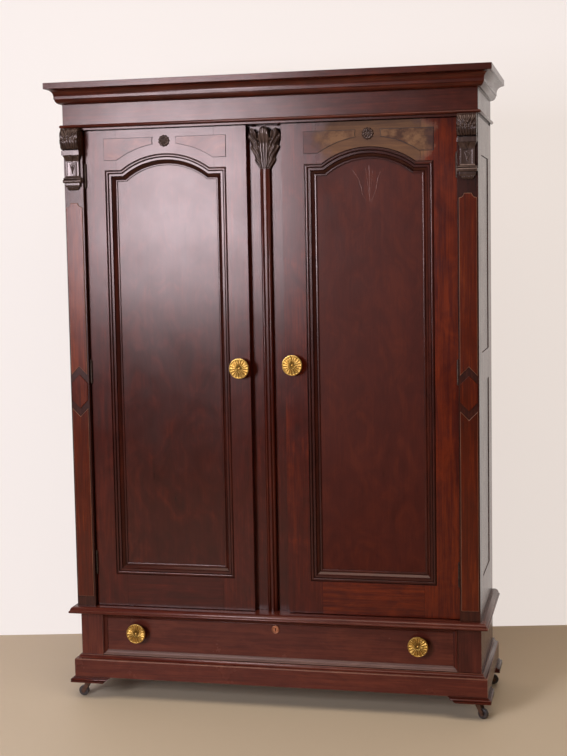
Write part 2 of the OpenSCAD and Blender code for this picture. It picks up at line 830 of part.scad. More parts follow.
module foot_pad(front) {
    inner = pad_x + pad_proj - pad_l;
    y0 = front ? pad_y : case_d - pad_l;
    y1 = front ? pad_y - pad_proj + pad_l + pad_slope : case_d;
    sx = front ? caster_front_y : caster_rear_y;
    difference() {
        intersection() {
            union() {
                board(inner - pad_slope, pad_x, y0, y1, pad_z, pad_z + pad_h);
                if (front) intersection() {
                    translate([0, pad_y, 0]) front_run(pad_x + pad_proj) pad_section();
                    linear_extrude(far) polygon([[0, pad_y], [pad_x, pad_y],
                        [pad_x + pad_proj, pad_y - pad_proj], [0, pad_y - pad_proj]]);
                }
                intersection() {
                    side_run(pad_x, pad_y - pad_proj, case_d) pad_section();
                    linear_extrude(far) polygon([[pad_x, y0], [pad_x + pad_proj, front ? y0 - pad_proj : y0],
                        [pad_x + pad_proj, y1], [pad_x, y1]]);
                }
            }
            pad_slope_keep(inner);
        }
        if (front) translate([0, pad_y - pad_proj + pad_l, pad_z]) rotate([atan(pad_h / pad_slope), 0, 0])
            translate([0, 0, -far / 2]) cube([far, far, far / 2]);
        translate([caster_x, sx, 0]) cylinder(r = socket_r + fit, h = far);
    }
}

module foot_pads() {
    color(mahogany) placed() for (side = [0, 1]) mirror([side, 0, 0]) {
        foot_pad(true);
        foot_pad(false);
    }
}

// Fixed brass fittings of the case

// Knuckle k of a hinge, counted from its foot
module knuckle(k) {
    difference() {
        translate([hinge_x, hinge_y, k * knuckle_h + fit / 2]) cylinder(r = knuckle_r, h = knuckle_h - fit);
        translate([hinge_x, hinge_y, k * knuckle_h - 1]) cylinder(r = pin_r + run_gap, h = knuckle_h + 2);
    }
}

// One leaf of a hinge from x0 to x0 + leaf_t, with the knuckles in the list
module leaf(x0, ks) {
    difference() {
        union() {
            board(x0, x0 + leaf_t, door_y, door_y + leaf_w, 0, hinge_h);
            for (k = ks) board(x0, x0 + leaf_t, hinge_y - 1.5, door_y, k * knuckle_h + fit / 2,
                (k + 1) * knuckle_h - fit / 2);
        }
        translate([hinge_x, hinge_y, -1]) cylinder(r = knuckle_r - 0.5, h = hinge_h + 2);
    }
    for (k = ks) knuckle(k);
}

module hinge_pin() {
    translate([hinge_x, hinge_y, 0]) {
        cylinder(r = pin_r, h = hinge_h);
        for (z = [-1, hinge_h + 1]) translate([0, 0, z]) sphere(knuckle_r - 0.6);
    }
}

module strike(side) {
    x = door_edge(side) + catch_in;
    difference() {
        board(x - 20, x + 20, catch_y - 9, catch_y + 9, head_z - strike_t, head_z);
        translate([x, catch_y, head_z - strike_t - 1]) cylinder(r = ball_r - 1, h = strike_t + 2);
    }
}

module case_fittings() {
    color(brass) placed() for (side = [0, 1]) mirror([side, 0, 0]) {
        for (z = hinge_zs) translate([0, 0, z - hinge_h / 2]) {
            leaf(post_in - leaf_t + leaf_inset, [0, 2, 4]);
            hinge_pin();
        }
        strike(side);
    }
}

// Doors: drawn for the right-hand door from its middle, and mirrored for the left

module door_side(side) {
    placed() mirror([side, 0, 0]) translate([door_mid(side), 0, 0]) children();
}

// The outline of the moulding, set in by off, in x and z
module door_outline(off) {
    w = outline_w - off;
    translate([-w, outline_z0 + off]) square([2 * w, outline_z1 - outline_z0 - 2 * off]);
    intersection() {
        translate([0, arch_z]) circle(arch_r - off, $fn = 180);
        translate([-w, outline_z1 - off - 1]) square([2 * w, arch_rise + 2]);
    }
}

module door_frame(side) {
    stile_x = outline_w - mould_w;
    color(mahogany) door_side(side) difference() {
        union() {
            for (end = [0, 1]) mirror([end, 0, 0])
                board(stile_x, door_half(side), door_y, door_back, door_z0, door_z1);
            for (zs = [[door_z0, outline_z0 + mould_w], [outline_z1 - mould_w, door_z1]])
                board(joint_gap - stile_x, stile_x - joint_gap, door_y, door_back, zs[0], zs[1]);
        }
        upright(door_y - 1, door_back + 1) door_outline(mould_seat);
        upright(door_y - 1, door_y + mould_rebate) door_outline(0);
        upright(door_y + panel_sink, door_back + 1) door_outline(mould_seat - panel_lap);
        for (z = hinge_zs)
            board(door_half(side) - leaf_inset, door_w, door_y - 1, door_y + leaf_w + fit,
                z - hinge_h / 2 - fit, z + hinge_h / 2 + fit);
        translate([catch_in - door_half(side), catch_y, door_z1 - 22]) cylinder(r = catch_r + fit, h = 30);
        translate([knob_in - door_half(side), 0, knob_z(side)]) rotate([-90, 0, 0])
            cylinder(r = knob_bolt_r + run_gap, h = far);
    }
}
function knob_z(side) = floor_z + left_knob_h + (side == 0 ? knob_step : 0);

module door_panel(side) {
    color(panel_brown) door_side(side) upright(door_y + panel_sink, door_y + panel_sink + panel_t)
        door_outline(mould_seat - panel_lap + fit);
}

// Section of the moulding: u runs inwards from its outer edge, heights are below the door's face
module mould_section() {
    difference() {
        union() {
            translate([fit, -mould_rebate]) square([bead_u, mould_rebate - lip_w - mould_bead_r]);
            translate([bead_u, -lip_w - mould_bead_r]) circle(mould_bead_r);
            translate([bead_u, -mould_rebate]) square([fillet_u - bead_u + 1, mould_rebate - fillet_d - 1.2]);
            difference() {
                translate([fillet_u, -mould_rebate]) square([cove_u + mould_cove_r - fillet_u,
                    mould_rebate - fillet_d]);
                translate([cove_u + mould_cove_r, 1 - fillet_d]) circle(mould_cove_r);
            }
            translate([mould_seat + fit, fit - panel_sink])
                square([ovolo_u - mould_seat - fit, panel_sink - cove_d - fit]);
            intersection() {
                translate([ovolo_u, fit - panel_sink]) circle(ovolo_r);
                translate([ovolo_u, fit - panel_sink]) square(ovolo_r);
            }
            translate([ovolo_u, fit - panel_sink]) square([mould_w - ovolo_u, 1.5]);
        }
        translate([-1, -far]) square([mould_seat + fit + 1, far - mould_rebate]);
    }
}

module mould_piece(cut) {
    intersection() {
        children();
        upright(door_y - 1, door_y + panel_sink) polygon(cut);
    }
}

module door_moulding(side) {
    w = outline_w;
    m = mould_w;
    g = mitre_gap;
    zs = outline_z1;
    zi = zs - m;
    inner_r = arch_r - m;
    xi = sqrt(inner_r * inner_r - (zi - arch_z) * (zi - arch_z));
    lean = (arch_half - xi) / m;
    z2 = zs + arch_rise + 10;
    x2 = arch_half + lean * (z2 - zs);
    color(mahogany) door_side(side) {
        for (end = [0, 1]) mirror([end, 0, 0]) {
            mould_piece([[-w, outline_z0 + g], [-w, zs - g], [m - w, zi - g], [m - w, outline_z0 + m + g]])
                translate([-w, door_y, zs]) rotate([180, 0, 0]) linear_extrude(zs - outline_z0)
                    mould_section();
            mould_piece([[-w, zs], [-arch_half, zs], [-xi, zi], [m - w, zi]])
                translate([-w, door_y, zs]) mirror([0, 0, 1]) rotate([0, -90, 180])
                    linear_extrude(w) mould_section();
        }
        mould_piece([[-w, outline_z0], [w, outline_z0], [w - m, outline_z0 + m], [m - w, outline_z0 + m]])
            translate([-w, door_y, outline_z0]) rotate([0, -90, 180]) linear_extrude(2 * w)
                mould_section();
        mould_piece([[g - xi, zi], [g - arch_half, zs], [g - x2, z2], [x2 - g, z2], [arch_half - g, zs],
                [xi - g, zi]])
            translate([0, door_y, arch_z]) rotate([90, 0, 0]) rotate_extrude($fn = 180)
                translate([arch_r, 0]) mirror([1, 0]) mould_section();
    }
}

module door_spandrels(side) {
    w = outline_w + 1;
    top = door_z1 - spandrel_top;
    foot = outline_z1 + 32;
    color(burl) door_side(side) upright(door_y - spandrel_t, door_y) difference() {
        translate([-w, foot]) square([2 * w, top - foot]);
        translate([0, arch_z]) circle(arch_r + spandrel_off, $fn = 180);
        translate([0, rosette_z]) circle(rosette_r * 2.1);
    }
}

module door_rosette(side) {
    color(dark_mahogany) door_side(side) translate([0, door_y, rosette_z]) rotate([90, 0, 0]) {
        cylinder(r = rosette_r * 0.82, h = 3);
        intersection() {
            union() {
                translate([0, 0, 3]) sphere(rosette_r * 0.36);
                for (i = [0:petals - 1]) rotate(360 * i / petals)
                    translate([rosette_r * 0.68, 0, 1]) sphere(rosette_r * 0.32);
            }
            cylinder(r = rosette_r, h = rosette_r);
        }
    }
}

// Brass knob: foot, neck and a fluted, domed face with a rim, on a bolt with a washer and a nut
module knob(depth) {
    r = knob_d / 2;
    edge = knob_proj - 12;
    rotate([90, 0, 0]) {
        difference() {
            rotate_extrude() {
                square([15, 3]);
                square([8.5, edge + 4]);
                translate([0, edge + 2]) square([r - 3, 5]);
                translate([r - 4.2, edge + 5]) circle(4.2);
                intersection() {
                    translate([0, knob_proj - 60]) circle(60, $fn = 120);
                    translate([0, edge + 4]) square([r - 5, 20]);
                }
            }
            for (i = [0:flutes - 1]) rotate(360 * (i + 0.5) / flutes)
                translate([9, 0, knob_proj + 0.2]) rotate([0, 99, 0]) cylinder(r = 1.7, h = r - 13);
        }
        translate([0, 0, -depth - 9]) cylinder(r = knob_bolt_r, h = depth + 10);
        translate([0, 0, -depth - 1.5]) cylinder(r = 9, h = 1.5);
        translate([0, 0, -depth - 6.5]) cylinder(r = 5.5, h = 5, $fn = 6);
    }
}

module door_knob(side) {
    color(brass) door_side(side) translate([knob_in - door_half(side), door_y, knob_z(side)]) knob(door_t);
}

module door_hinges(side) {
    color(brass) placed() mirror([side, 0, 0]) for (z = hinge_zs)
        translate([0, 0, z - hinge_h / 2]) leaf(door_out - leaf_inset, [1, 3]);
}

module door_catch(side) {
    color(brass) placed() mirror([side, 0, 0]) translate([door_edge(side) + catch_in, catch_y, door_z1]) {
        translate([0, 0, -20]) cylinder(r = catch_r, h = 20);
        translate([0, 0, head_z - strike_t - fit - door_z1 - ball_r]) sphere(ball_r);
    }
}

// Drawer

module drawer_front() {
    color(mahogany) placed() difference() {
        board(-drawer_w / 2, drawer_w / 2, drawer_face, drawer_box_y, drawer_z0, drawer_z1);
        board(drawer_side_t - drawer_box_w / 2, drawer_box_w / 2 - drawer_side_t, drawer_box_y - 6,
            drawer_box_y + 1, drawer_floor_z - 0.1, drawer_floor_z + drawer_floor_t + 0.1);
        for (side = [-1, 1]) translate([side * drawer_knob_x, 0, knob_drawer_z]) rotate([-90, 0, 0])
            cylinder(r = knob_bolt_r + run_gap, h = far);
        keyhole(0, far);
    }
}
knob_drawer_z = (drawer_z0 + drawer_z1) / 2 + knob_lift;

// Border moulding: a frame of four mitred lengths that slopes down to the field
module drawer_border() {
    w = drawer_w / 2;
    zc = (drawer_z0 + drawer_z1) / 2;
    h = (drawer_z1 - drawer_z0) / 2;
    depth = field_sink + border_proj;
    color(mahogany) placed() translate([0, drawer_face, zc]) {
        for (end = [0, 1]) mirror([0, 0, end]) intersection() {
            rotate([90, 0, 90]) translate([0, 0, -w]) linear_extrude(2 * w) border_section(h, depth);
            upright(-far, far) polygon([[-w, -h], [w, -h], [w - border_w, border_w - h],
                [border_w - w, border_w - h]]);
        }
        for (end = [0, 1]) mirror([end, 0, 0]) intersection() {
            translate([0, 0, -h]) linear_extrude(2 * h) rotate(90) border_section(w, depth);
            upright(-far, far) polygon([[w, mitre_gap - h], [w, h - mitre_gap],
                [w - border_w, h - border_w - mitre_gap], [w - border_w, border_w + mitre_gap - h]]);
        }
    }
}

// Section of the border in depth and distance from the middle, its outer edge at -reach: a fillet,
// a hollow and a bead against the field
module border_section(reach, depth) {
    hollow_r = border_w - 7;
    translate([0, -reach]) {
        difference() {
            translate([-depth, 0]) square([depth, border_w - 4]);
            translate([-depth - 0.5, 3 + hollow_r]) scale([(depth - 1.5) / hollow_r, 1]) circle(hollow_r);
            translate([-depth - 1, 3 + hollow_r]) square([depth - 2, border_w]);
        }
        translate([-1.8, border_w - 2.8]) circle(1.8);
        translate([-1.8, border_w - 4.6]) square([1.8, 3.6]);
        translate([-1.2, 0]) square([1.2, border_w]);
    }
}

module drawer_sides() {
    y1 = drawer_box_y + drawer_d;
    x = drawer_box_w / 2;
    color(pine) placed() for (side = [0, 1]) mirror([side, 0, 0]) difference() {
        board(x - drawer_side_t, x, drawer_box_y, y1, drawer_z0, drawer_box_z1);
        board(x - drawer_side_t - 1, x - drawer_side_t + 5, 0, far, drawer_floor_z - 0.1,
            drawer_floor_z + drawer_floor_t + 0.1);
    }
}

module drawer_back() {
    y1 = drawer_box_y + drawer_d;
    x = drawer_box_w / 2 - drawer_side_t;
    color(pine) placed() board(-x, x, y1 - drawer_side_t, y1, drawer_floor_z + drawer_floor_t,
        drawer_box_z1);
}

module drawer_bottom() {
    y1 = drawer_box_y + drawer_d;
    x = drawer_box_w / 2 - drawer_side_t + 5 - fit;
    color(pine) placed() {
        board(-x, x, drawer_box_y, y1, drawer_floor_z, drawer_floor_z + drawer_floor_t);
        board(drawer_side_t + fit - drawer_box_w / 2, drawer_box_w / 2 - drawer_side_t - fit,
            drawer_box_y - 5.7, drawer_box_y, drawer_floor_z, drawer_floor_z + drawer_floor_t);
    }
}

module drawer_knobs() {
    color(brass) placed() for (side = [-1, 1])
        translate([side * drawer_knob_x, drawer_face, knob_drawer_z]) knob(drawer_front_t);
}

// Keyhole through whatever lies between y0 and y1
module keyhole(y0, y1) {
    upright(y0, y1) translate([0, lock_z]) {
        translate([0, 2]) circle(2.4);
        translate([-1.3, -6]) square([2.6, 8]);
    }
}

module drawer_lock() {
    color(brass) placed() {
        difference() {
            translate([0, drawer_face, lock_z]) rotate([90, 0, 0]) rotate_extrude() {
                square([escutcheon_d / 2 - 1, 1.2]);
                translate([escutcheon_d / 2 - 1.8, 1]) circle(1.8);
            }
            keyhole(0, far);
            board(-20, 20, drawer_face, far, lock_z - 20, lock_z + 20);
        }
        difference() {
            board(-32, 32, drawer_box_y, drawer_box_y + 9, lock_z - 22, lock_z + 16);
            keyhole(0, far);
        }
    }
}

// Casters

module caster_plates() {
    color(iron) placed() for (c = casters) translate([c[0], c[1], pad_z - plate_t]) difference() {
        union() {
            cylinder(r = plate_r, h = plate_t);
            cylinder(r = socket_r, h = plate_t + socket_l);
        }
        translate([0, 0, -1]) cylinder(r = stem_r + run_gap, h = socket_l - 1);
    }
}

// Stands what is drawn with its swivel at the origin and its wheel towards +X at caster i
module at_caster(i) {
    placed() translate([casters[i][0], casters[i][1], 0]) rotate(casters[i][2]) children();
}

module caster_horn(i) {
    top = pad_z - plate_t - crown_gap;
    arm_y = wheel_w / 2 + horn_gap;
    color(iron) at_caster(i) {
        translate([0, 0, top - 1]) cylinder(r = stem_r, h = plate_t + socket_l - 4);
        difference() {
            union() {
                translate([0, 0, top - crown_h]) cylinder(r = crown_r, h = crown_h);
                for (side = [0, 1]) mirror([0, side, 0]) upright(arm_y, arm_y + horn_t) {
                    translate([trail, wheel_r]) circle(7);
                    polygon([[-9, top - crown_h / 2], [10, top - crown_h / 2], [trail + 7, wheel_r],
                        [trail - 6, wheel_r - 3.5]]);
                }
            }
            translate([trail, 0, wheel_r]) rotate([90, 0, 0]) translate([0, 0, -50])
                cylinder(r = axle_r + run_gap, h = 100);
        }
        translate([trail, 0, wheel_r]) rotate([90, 0, 0]) translate([0, 0, -arm_y - horn_t - 1.5])
            cylinder(r = axle_r, h = 2 * (arm_y + horn_t + 1.5));
        for (side = [-1, 1]) translate([trail, side * (arm_y + horn_t + 1.3), wheel_r])
            rotate([90, 0, 0]) translate([0, 0, -1]) cylinder(r = axle_r + 1.6, h = 2);
    }
}

module caster_wheel(i) {
    w = wheel_w / 2;
    edge = 3;
    color(iron) at_caster(i) translate([trail, 0, wheel_r]) rotate([90, 0, 0]) rotate_extrude() {
        difference() {
            union() {
                translate([axle_r + run_gap, -w + edge]) square([wheel_r - axle_r - run_gap, wheel_w - 2 * edge]);
                translate([axle_r + run_gap, -w]) square([wheel_r - edge - axle_r - run_gap, wheel_w]);
                for (y = [edge - w, w - edge]) translate([wheel_r - edge, y]) circle(edge);
            }
            for (y = [-w - 1, w - 1.5]) translate([7, y]) square([wheel_r - 11, 2.5]);
        }
        translate([axle_r + run_gap, -w - 0.5]) square([3, wheel_w + 1]);
    }
}

cornice_moulding();
cornice_top();
frieze();
frieze_bead();
side_frame(1);  // left_side_frame
side_frame(0);  // right_side_frame
side_panels();
pilaster(1);  // left_pilaster
pilaster(0);  // right_pilaster
pilaster_panels();
pilaster_lozenges();
corbel(-1);  // left_corbel
corbel(1);  // right_corbel
centre_stile();
reeded_column();
leaf_capital();
back_frame();
back_panels();
case_top();
case_floor();
hanging_rod();
rod_sockets();
waist_moulding();
base_frame();
drawer_runners();
plinth();
foot_pads();
case_fittings();
caster_plates();
door_frame(1);  // left_door_frame
door_panel(1);  // left_door_panel
door_moulding(1);  // left_door_moulding
door_spandrels(1);  // left_door_spandrels
door_rosette(1);  // left_door_rosette
door_knob(1);  // left_door_knob
door_hinges(1);  // left_door_hinges
door_catch(1);  // left_door_catch
door_frame(0);  // right_door_frame
door_panel(0);  // right_door_panel
door_moulding(0);  // right_door_moulding
door_spandrels(0);  // right_door_spandrels
door_rosette(0);  // right_door_rosette
door_knob(0);  // right_door_knob
door_hinges(0);  // right_door_hinges
door_catch(0);  // right_door_catch
drawer_front();
drawer_border();
drawer_sides();
drawer_back();
drawer_bottom();
drawer_knobs();
drawer_lock();
caster_horn(0);  // front_left_caster
caster_wheel(0);  // front_left_wheel
caster_horn(1);  // front_right_caster
caster_wheel(1);  // front_right_wheel
caster_horn(2);  // rear_left_caster
caster_wheel(2);  // rear_left_wheel
caster_horn(3);  // rear_right_caster
caster_wheel(3);  // rear_right_wheel
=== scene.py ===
"""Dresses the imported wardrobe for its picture: carved and brass pieces, finishes, floor, wall, light and camera."""

import json
import math
import random

import bpy
from mathutils import Matrix, Vector


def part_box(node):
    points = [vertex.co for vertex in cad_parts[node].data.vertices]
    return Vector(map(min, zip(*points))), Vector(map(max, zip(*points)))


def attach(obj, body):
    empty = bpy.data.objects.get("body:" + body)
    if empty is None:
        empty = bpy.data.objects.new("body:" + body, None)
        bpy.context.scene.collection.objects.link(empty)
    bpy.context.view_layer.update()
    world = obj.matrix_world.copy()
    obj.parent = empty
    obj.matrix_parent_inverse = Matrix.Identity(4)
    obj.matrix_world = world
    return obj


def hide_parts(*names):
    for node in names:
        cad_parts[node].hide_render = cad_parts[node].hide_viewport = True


bl_info = {
    "name": "Wardrobe dressing",
    "version": (1, 0, 0),
    "blender": (4, 5, 0),
    "location": "View3D > Sidebar > Wardrobe",
    "description": "Adds the carved and brass pieces, the finishes and the stage to the packed wardrobe",
    "category": "Object",
}

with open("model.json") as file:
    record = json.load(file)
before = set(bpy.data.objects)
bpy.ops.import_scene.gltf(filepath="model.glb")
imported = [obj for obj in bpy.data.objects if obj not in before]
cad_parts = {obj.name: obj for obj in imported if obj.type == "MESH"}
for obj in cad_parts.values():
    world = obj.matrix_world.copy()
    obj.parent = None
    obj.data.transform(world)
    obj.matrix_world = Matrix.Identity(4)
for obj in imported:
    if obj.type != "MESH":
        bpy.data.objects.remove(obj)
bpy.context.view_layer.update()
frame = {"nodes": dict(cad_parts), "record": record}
MM = 0.001
FACE_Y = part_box("left_pilaster")[0].y  # plane of the pilaster faces

# The camera that the photograph was taken with: place in metres, turn in radians, lens in millimetres
CAMERA_X, CAMERA_AWAY, CAMERA_HEIGHT = 1.1195, 4.5667, 1.5715
YAW, PITCH, ROLL = 0.2295, -0.0921, -0.018
LENS, SENSOR = 67.47, 36.0
WALL_AWAY = 5.72  # from the camera, in metres


def linear(hex_colour):
    """An sRGB hex colour as the linear values that the shaders take."""
    parts = [int(hex_colour[i : i + 2], 16) / 255 for i in (1, 3, 5)]
    return tuple(p / 12.92 if p <= 0.04045 else ((p + 0.055) / 1.055) ** 2.4 for p in parts)


# Nodes

COLOUR = {"data_type": "RGBA"}
DARKEN = {"data_type": "RGBA", "blend_type": "MULTIPLY"}


def set_sockets(node, **links):
    """Links what is given as a node or its output, and sets the rest on the node's own sockets."""
    for name, value in links.items():
        socket = node.inputs[int(name[1:]) if name[1:].isdigit() else name.replace("_", " ")]
        if isinstance(value, bpy.types.Node):
            value = value.outputs[0]
        if isinstance(value, bpy.types.NodeSocket):
            node.id_data.links.new(value, socket)
        else:
            socket.default_value = value
    return node


def add(tree, kind, settings=None, **links):
    """Adds a node with its properties, the stops of its ramp and its links. i6 is input 6."""
    node = tree.nodes.new("ShaderNode" + kind)
    for name, value in (settings or {}).items():
        if name != "stops":
            setattr(node, name, value)
            continue
        elements = node.color_ramp.elements
        while len(elements) < len(value):
            elements.new(0.5)
        for element, (place, colour) in zip(elements, value):
            rgb = linear(colour) if isinstance(colour, str) else (colour,) * 3
            element.position, element.color = place, (*rgb, 1)
    return set_sockets(node, **links)


def new_material(name):
    """An empty material, its node tree and its shader."""
    material = bpy.data.materials.new(name)
    material.use_nodes = True
    tree = material.node_tree
    tree.nodes.clear()
    shader = add(tree, "BsdfPrincipled")
    add(tree, "OutputMaterial", Surface=shader)
    return material, tree, shader


# one value sets how dark the painted shade in the inner corners gets, and hollow how far that shade reaches
def polished_wood(
    name, dark, mid, light, figure=0.5, rough=0.24, corner_shade=0.35, shine=0.3, hollow=0.02, patch=False, mottle=False,
    bleached=("#381f0f", "#52331a", "#6e4929"),
):
    """Hardwood under shellac rubbed on with a pad. Grain runs along the board that each face belongs to."""
    material, tree, shader = new_material(name)
    board = add(tree, "Attribute", {"attribute_name": "grain"}).outputs["Vector"]
    # grain streaks 6 mm apart and about 150 mm long
    streaks = add(tree, "Mapping", Vector=board, Scale=(160.0, 160.0, 6.5))
    fine = add(tree, "TexNoise", Vector=streaks, Scale=1.0, Detail=5.0, Roughness=0.62, Distortion=0.4)
    # broad growth bands 35 mm wide, wandering along the board
    broad = add(tree, "Mapping", Vector=board, Scale=(28.0, 28.0, 2.2))
    bands = add(tree, "TexNoise", Vector=broad, Scale=1.0, Detail=3.0, Roughness=0.5, Distortion=1.2)
    # feathered figure in patches of 75 to 145 mm
    patches = add(tree, "Mapping", Vector=board, Scale=(13.0, 13.0, 7.0))
    cloud = add(tree, "TexNoise", Vector=patches, Scale=1.0, Detail=4.0, Roughness=0.6, Distortion=1.8)
    grain = add(tree, "Mix", None, Factor=0.45, A=fine, B=bands)
    tone = add(tree, "Mix", None, Factor=figure * 0.6, A=grain, B=cloud)
    low, high = 0.3, 0.7
    # each board is a little darker or lighter than its neighbours
    board_tone = add(tree, "Attribute", {"attribute_name": "board"}).outputs["Fac"]
    board_shift = add(tree, "MapRange", {"clamp": False}, Value=board_tone, i3=-0.05, i4=0.05)
    tone = add(tree, "Math", {"operation": "ADD"}, i0=tone, i1=board_shift)
    colour = add(tree, "ValToRGB", {"stops": [(low, dark), (0.5, mid), (high, light)]}, Fac=tone)
    # pores: dark dashes 0.5 mm wide, drawn 1.5 mm wide so that they show
    pore_map = add(tree, "Mapping", Vector=board, Scale=(650.0, 650.0, 28.0))
    pores = add(tree, "TexNoise", Vector=pore_map, Scale=1.0, Detail=2.0, Roughness=0.5)
    pore_mask = add(tree, "ValToRGB", {"stops": [(0.3, 0.72), (0.42, 1.0)]}, Fac=pores)
    colour = add(tree, "Mix", DARKEN, i0=0.7, i6=colour, i7=pore_mask).outputs[2]
    place = add(tree, "TexCoord").outputs["Object"]
    # where the attribute says so, sun and wiping have left the wood olive brown and dull; on the drawer's border the
    # paler colour is also painted reflected light
    faded = add(tree, "Attribute", {"attribute_name": "worn"}).outputs["Fac"]
    if patch:
        # an uneven oval patch, about 360 mm wide and 240 mm high, on the door's face alone
        middle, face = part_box("right_door_rosette")[0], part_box("right_door_frame")[0].y
        shift = (-4.2 * middle.x - 0.17, -45 * face, -6.2 * middle.z)
        oval = add(tree, "Mapping", Vector=place, Scale=(4.2, 45, 6.2), Location=shift)
        ball = add(tree, "TexGradient", {"gradient_type": "SPHERICAL"}, Vector=oval).outputs["Fac"]
        blots = add(tree, "TexNoise", Vector=place, Scale=22.0, Detail=4.0, Roughness=0.6)
        ball = add(tree, "Math", {"operation": "MULTIPLY_ADD"}, i0=blots, i1=0.5, i2=ball)
        ball = add(tree, "MapRange", None, Value=ball, i1=0.38, i2=0.6)
        faded = add(tree, "Math", {"operation": "MULTIPLY"}, i0=faded, i1=ball)
    stops = list(zip((low, 0.5, high), bleached))
    bleach = add(tree, "ValToRGB", {"stops": stops}, Fac=tone)
    if mottle:
        # worn polish: spots where the finish has gone thin and pale
        spots = add(tree, "TexNoise", Vector=place, Scale=30.0, Detail=5.0, Roughness=0.65)
        mask = add(tree, "MapRange", None, Value=spots, i1=0.42, i2=0.62)
        bleach = add(tree, "Mix", COLOUR, i0=mask, i6=bleach, i7=(*linear(bleached[2]), 1)).outputs[2]
    colour = add(tree, "Mix", COLOUR, i0=faded, i6=colour, i7=bleach).outputs[2]
    # painted shade darkens the inner corners, together with the dust and old polish that gather there
    painted_corner_shade = add(tree, "AmbientOcclusion", {"samples": 8}, Distance=hollow).outputs["AO"]
    painted_corner_shade = add(tree, "ValToRGB", {"stops": [(0.25, 1.0 - corner_shade), (0.8, 1.0)]}, Fac=painted_corner_shade)
    colour = add(tree, "Mix", DARKEN, i0=1.0, i6=colour, i7=painted_corner_shade).outputs[2]
    # rubbed polish: clouds of more and less gloss, 110 mm wide
    rubbed = add(tree, "TexNoise", Vector=place, Scale=9.0, Detail=4.0, Roughness=0.6)
    gloss = add(tree, "MapRange", None, Value=rubbed, i1=0.3, i2=0.7, i3=rough * 0.92, i4=rough * 1.12)
    matt = add(tree, "Mix", None, Factor=faded, A=gloss, B=0.55)
    # hand planed boards are slightly wavy, about 70 mm from crest to crest, and the pores are open
    waves = add(tree, "TexNoise", Vector=place, Scale=14.0, Detail=1.0)
    bump = add(tree, "Bump", None, Strength=0.05, Distance=0.002, Height=waves)
    bump = add(tree, "Bump", None, Strength=0.12, Distance=0.0006, Height=pores, Normal=bump)
    set_sockets(shader, Base_Color=colour, Roughness=matt, Normal=bump)
    # a thin, dusty shellac reflects less than fresh polish does, and its amber warms what it reflects
    set_sockets(shader, Specular_IOR_Level=shine, Specular_Tint=(1.0, 0.72, 0.6, 1.0))
    return material


def plain_metal(name, colour, dark, rough, metallic=1.0, patina=0.5):
    """Cast or turned, with clouds 8 mm wide in its tone and a duller tone in its hollows."""
    material, tree, shader = new_material(name)
    place = add(tree, "TexCoord").outputs["Object"]
    tint = add(tree, "TexNoise", Vector=place, Scale=120.0, Detail=4.0, Roughness=0.6)
    base = add(tree, "ValToRGB", {"stops": [(0.3, dark), (0.55, colour)]}, Fac=tint)
    hollow = add(tree, "AmbientOcclusion", {"samples": 8}, Distance=0.004).outputs["AO"]
    hollow = add(tree, "ValToRGB", {"stops": [(0.35, 1.0 - patina), (0.85, 1.0)]}, Fac=hollow)
    base = add(tree, "Mix", DARKEN, i0=1.0, i6=base, i7=hollow).outputs[2]
    set_sockets(shader, Base_Color=base, Metallic=metallic, Roughness=rough)
    return material


def bare_pine(name):
    """Planed pine, left bare and gone brown with age."""
    material, tree, shader = new_material(name)
    board = add(tree, "Attribute", {"attribute_name": "grain"}).outputs["Vector"]
    # fields of growth rings 24 mm wide and 600 mm long, with dark late wood every few millimetres in them
    rings = add(tree, "Mapping", Vector=board, Scale=(42.0, 42.0, 1.6))
    bands = add(tree, "TexNoise", Vector=rings, Scale=1.0, Detail=2.0, Distortion=1.5)
    late = add(tree, "Math", {"operation": "MULTIPLY"}, i0=bands, i1=70.0)
    wave = add(tree, "Math", {"operation": "SINE"}, i0=late)
    stops = [(0.0, "#9a744a"), (0.75, "#916a40"), (1.0, "#765231")]
    colour = add(tree, "ValToRGB", {"stops": stops}, Fac=wave)
    set_sockets(shader, Base_Color=colour, Roughness=0.65)
    return material


def flat_finish(name, colour, rough, glow=0.0):
    """Brushed paint with faint clouds. A glowing one shows its own colour to the camera and in reflections."""
    material, tree, shader = new_material(name)
    place = add(tree, "TexCoord").outputs["Object"]
    cloud = add(tree, "TexNoise", Vector=place, Scale=1.5, Detail=3.0)
    tone = add(tree, "MapRange", None, Value=cloud, i3=0.97, i4=1.03)
    mixed = add(tree, "Mix", DARKEN, i0=1.0, i6=(*colour, 1), i7=tone).outputs[2]
    set_sockets(shader, Base_Color=mixed, Roughness=rough)
    if glow:
        path = add(tree, "LightPath").outputs
        seen = path["Is Camera Ray"]
        for kind in ("Is Glossy Ray", "Is Transmission Ray"):
            seen = add(tree, "Math", {"operation": "MAXIMUM"}, i0=seen, i1=path[kind])
        share = add(tree, "Math", {"operation": "MULTIPLY"}, i0=seen, i1=glow)
        light = add(tree, "Emission", None, Color=mixed, Strength=1.0)
        both = add(tree, "MixShader", None, i0=share, i1=shader, i2=light)
        # from behind, the view goes through to the object
        behind = add(tree, "NewGeometry").outputs["Backfacing"]
        clear = add(tree, "BsdfTransparent")
        both = add(tree, "MixShader", None, i0=behind, i1=both, i2=clear)
        set_sockets(tree.nodes["Material Output"], Surface=both)
    return material


# Meshes


def islands(mesh):
    """Lists of vertex indices, one list for each connected board of a mesh whose triangles may be loose."""
    spot, parent = {}, {}

    def root(k):
        while parent[k] != k:
            parent[k] = parent[parent[k]]
            k = parent[k]
        return k

    keys = []
    for v in mesh.vertices:
        k = tuple(round(c * 20000) for c in v.co)
        spot.setdefault(k, len(spot))
        parent.setdefault(spot[k], spot[k])
        keys.append(spot[k])
    for p in mesh.polygons:
        first = root(keys[p.vertices[0]])
        for i in p.vertices[1:]:
            parent[root(keys[i])] = first
    groups = {}
    for i, k in enumerate(keys):
        groups.setdefault(root(k), []).append(i)
    return list(groups.values())


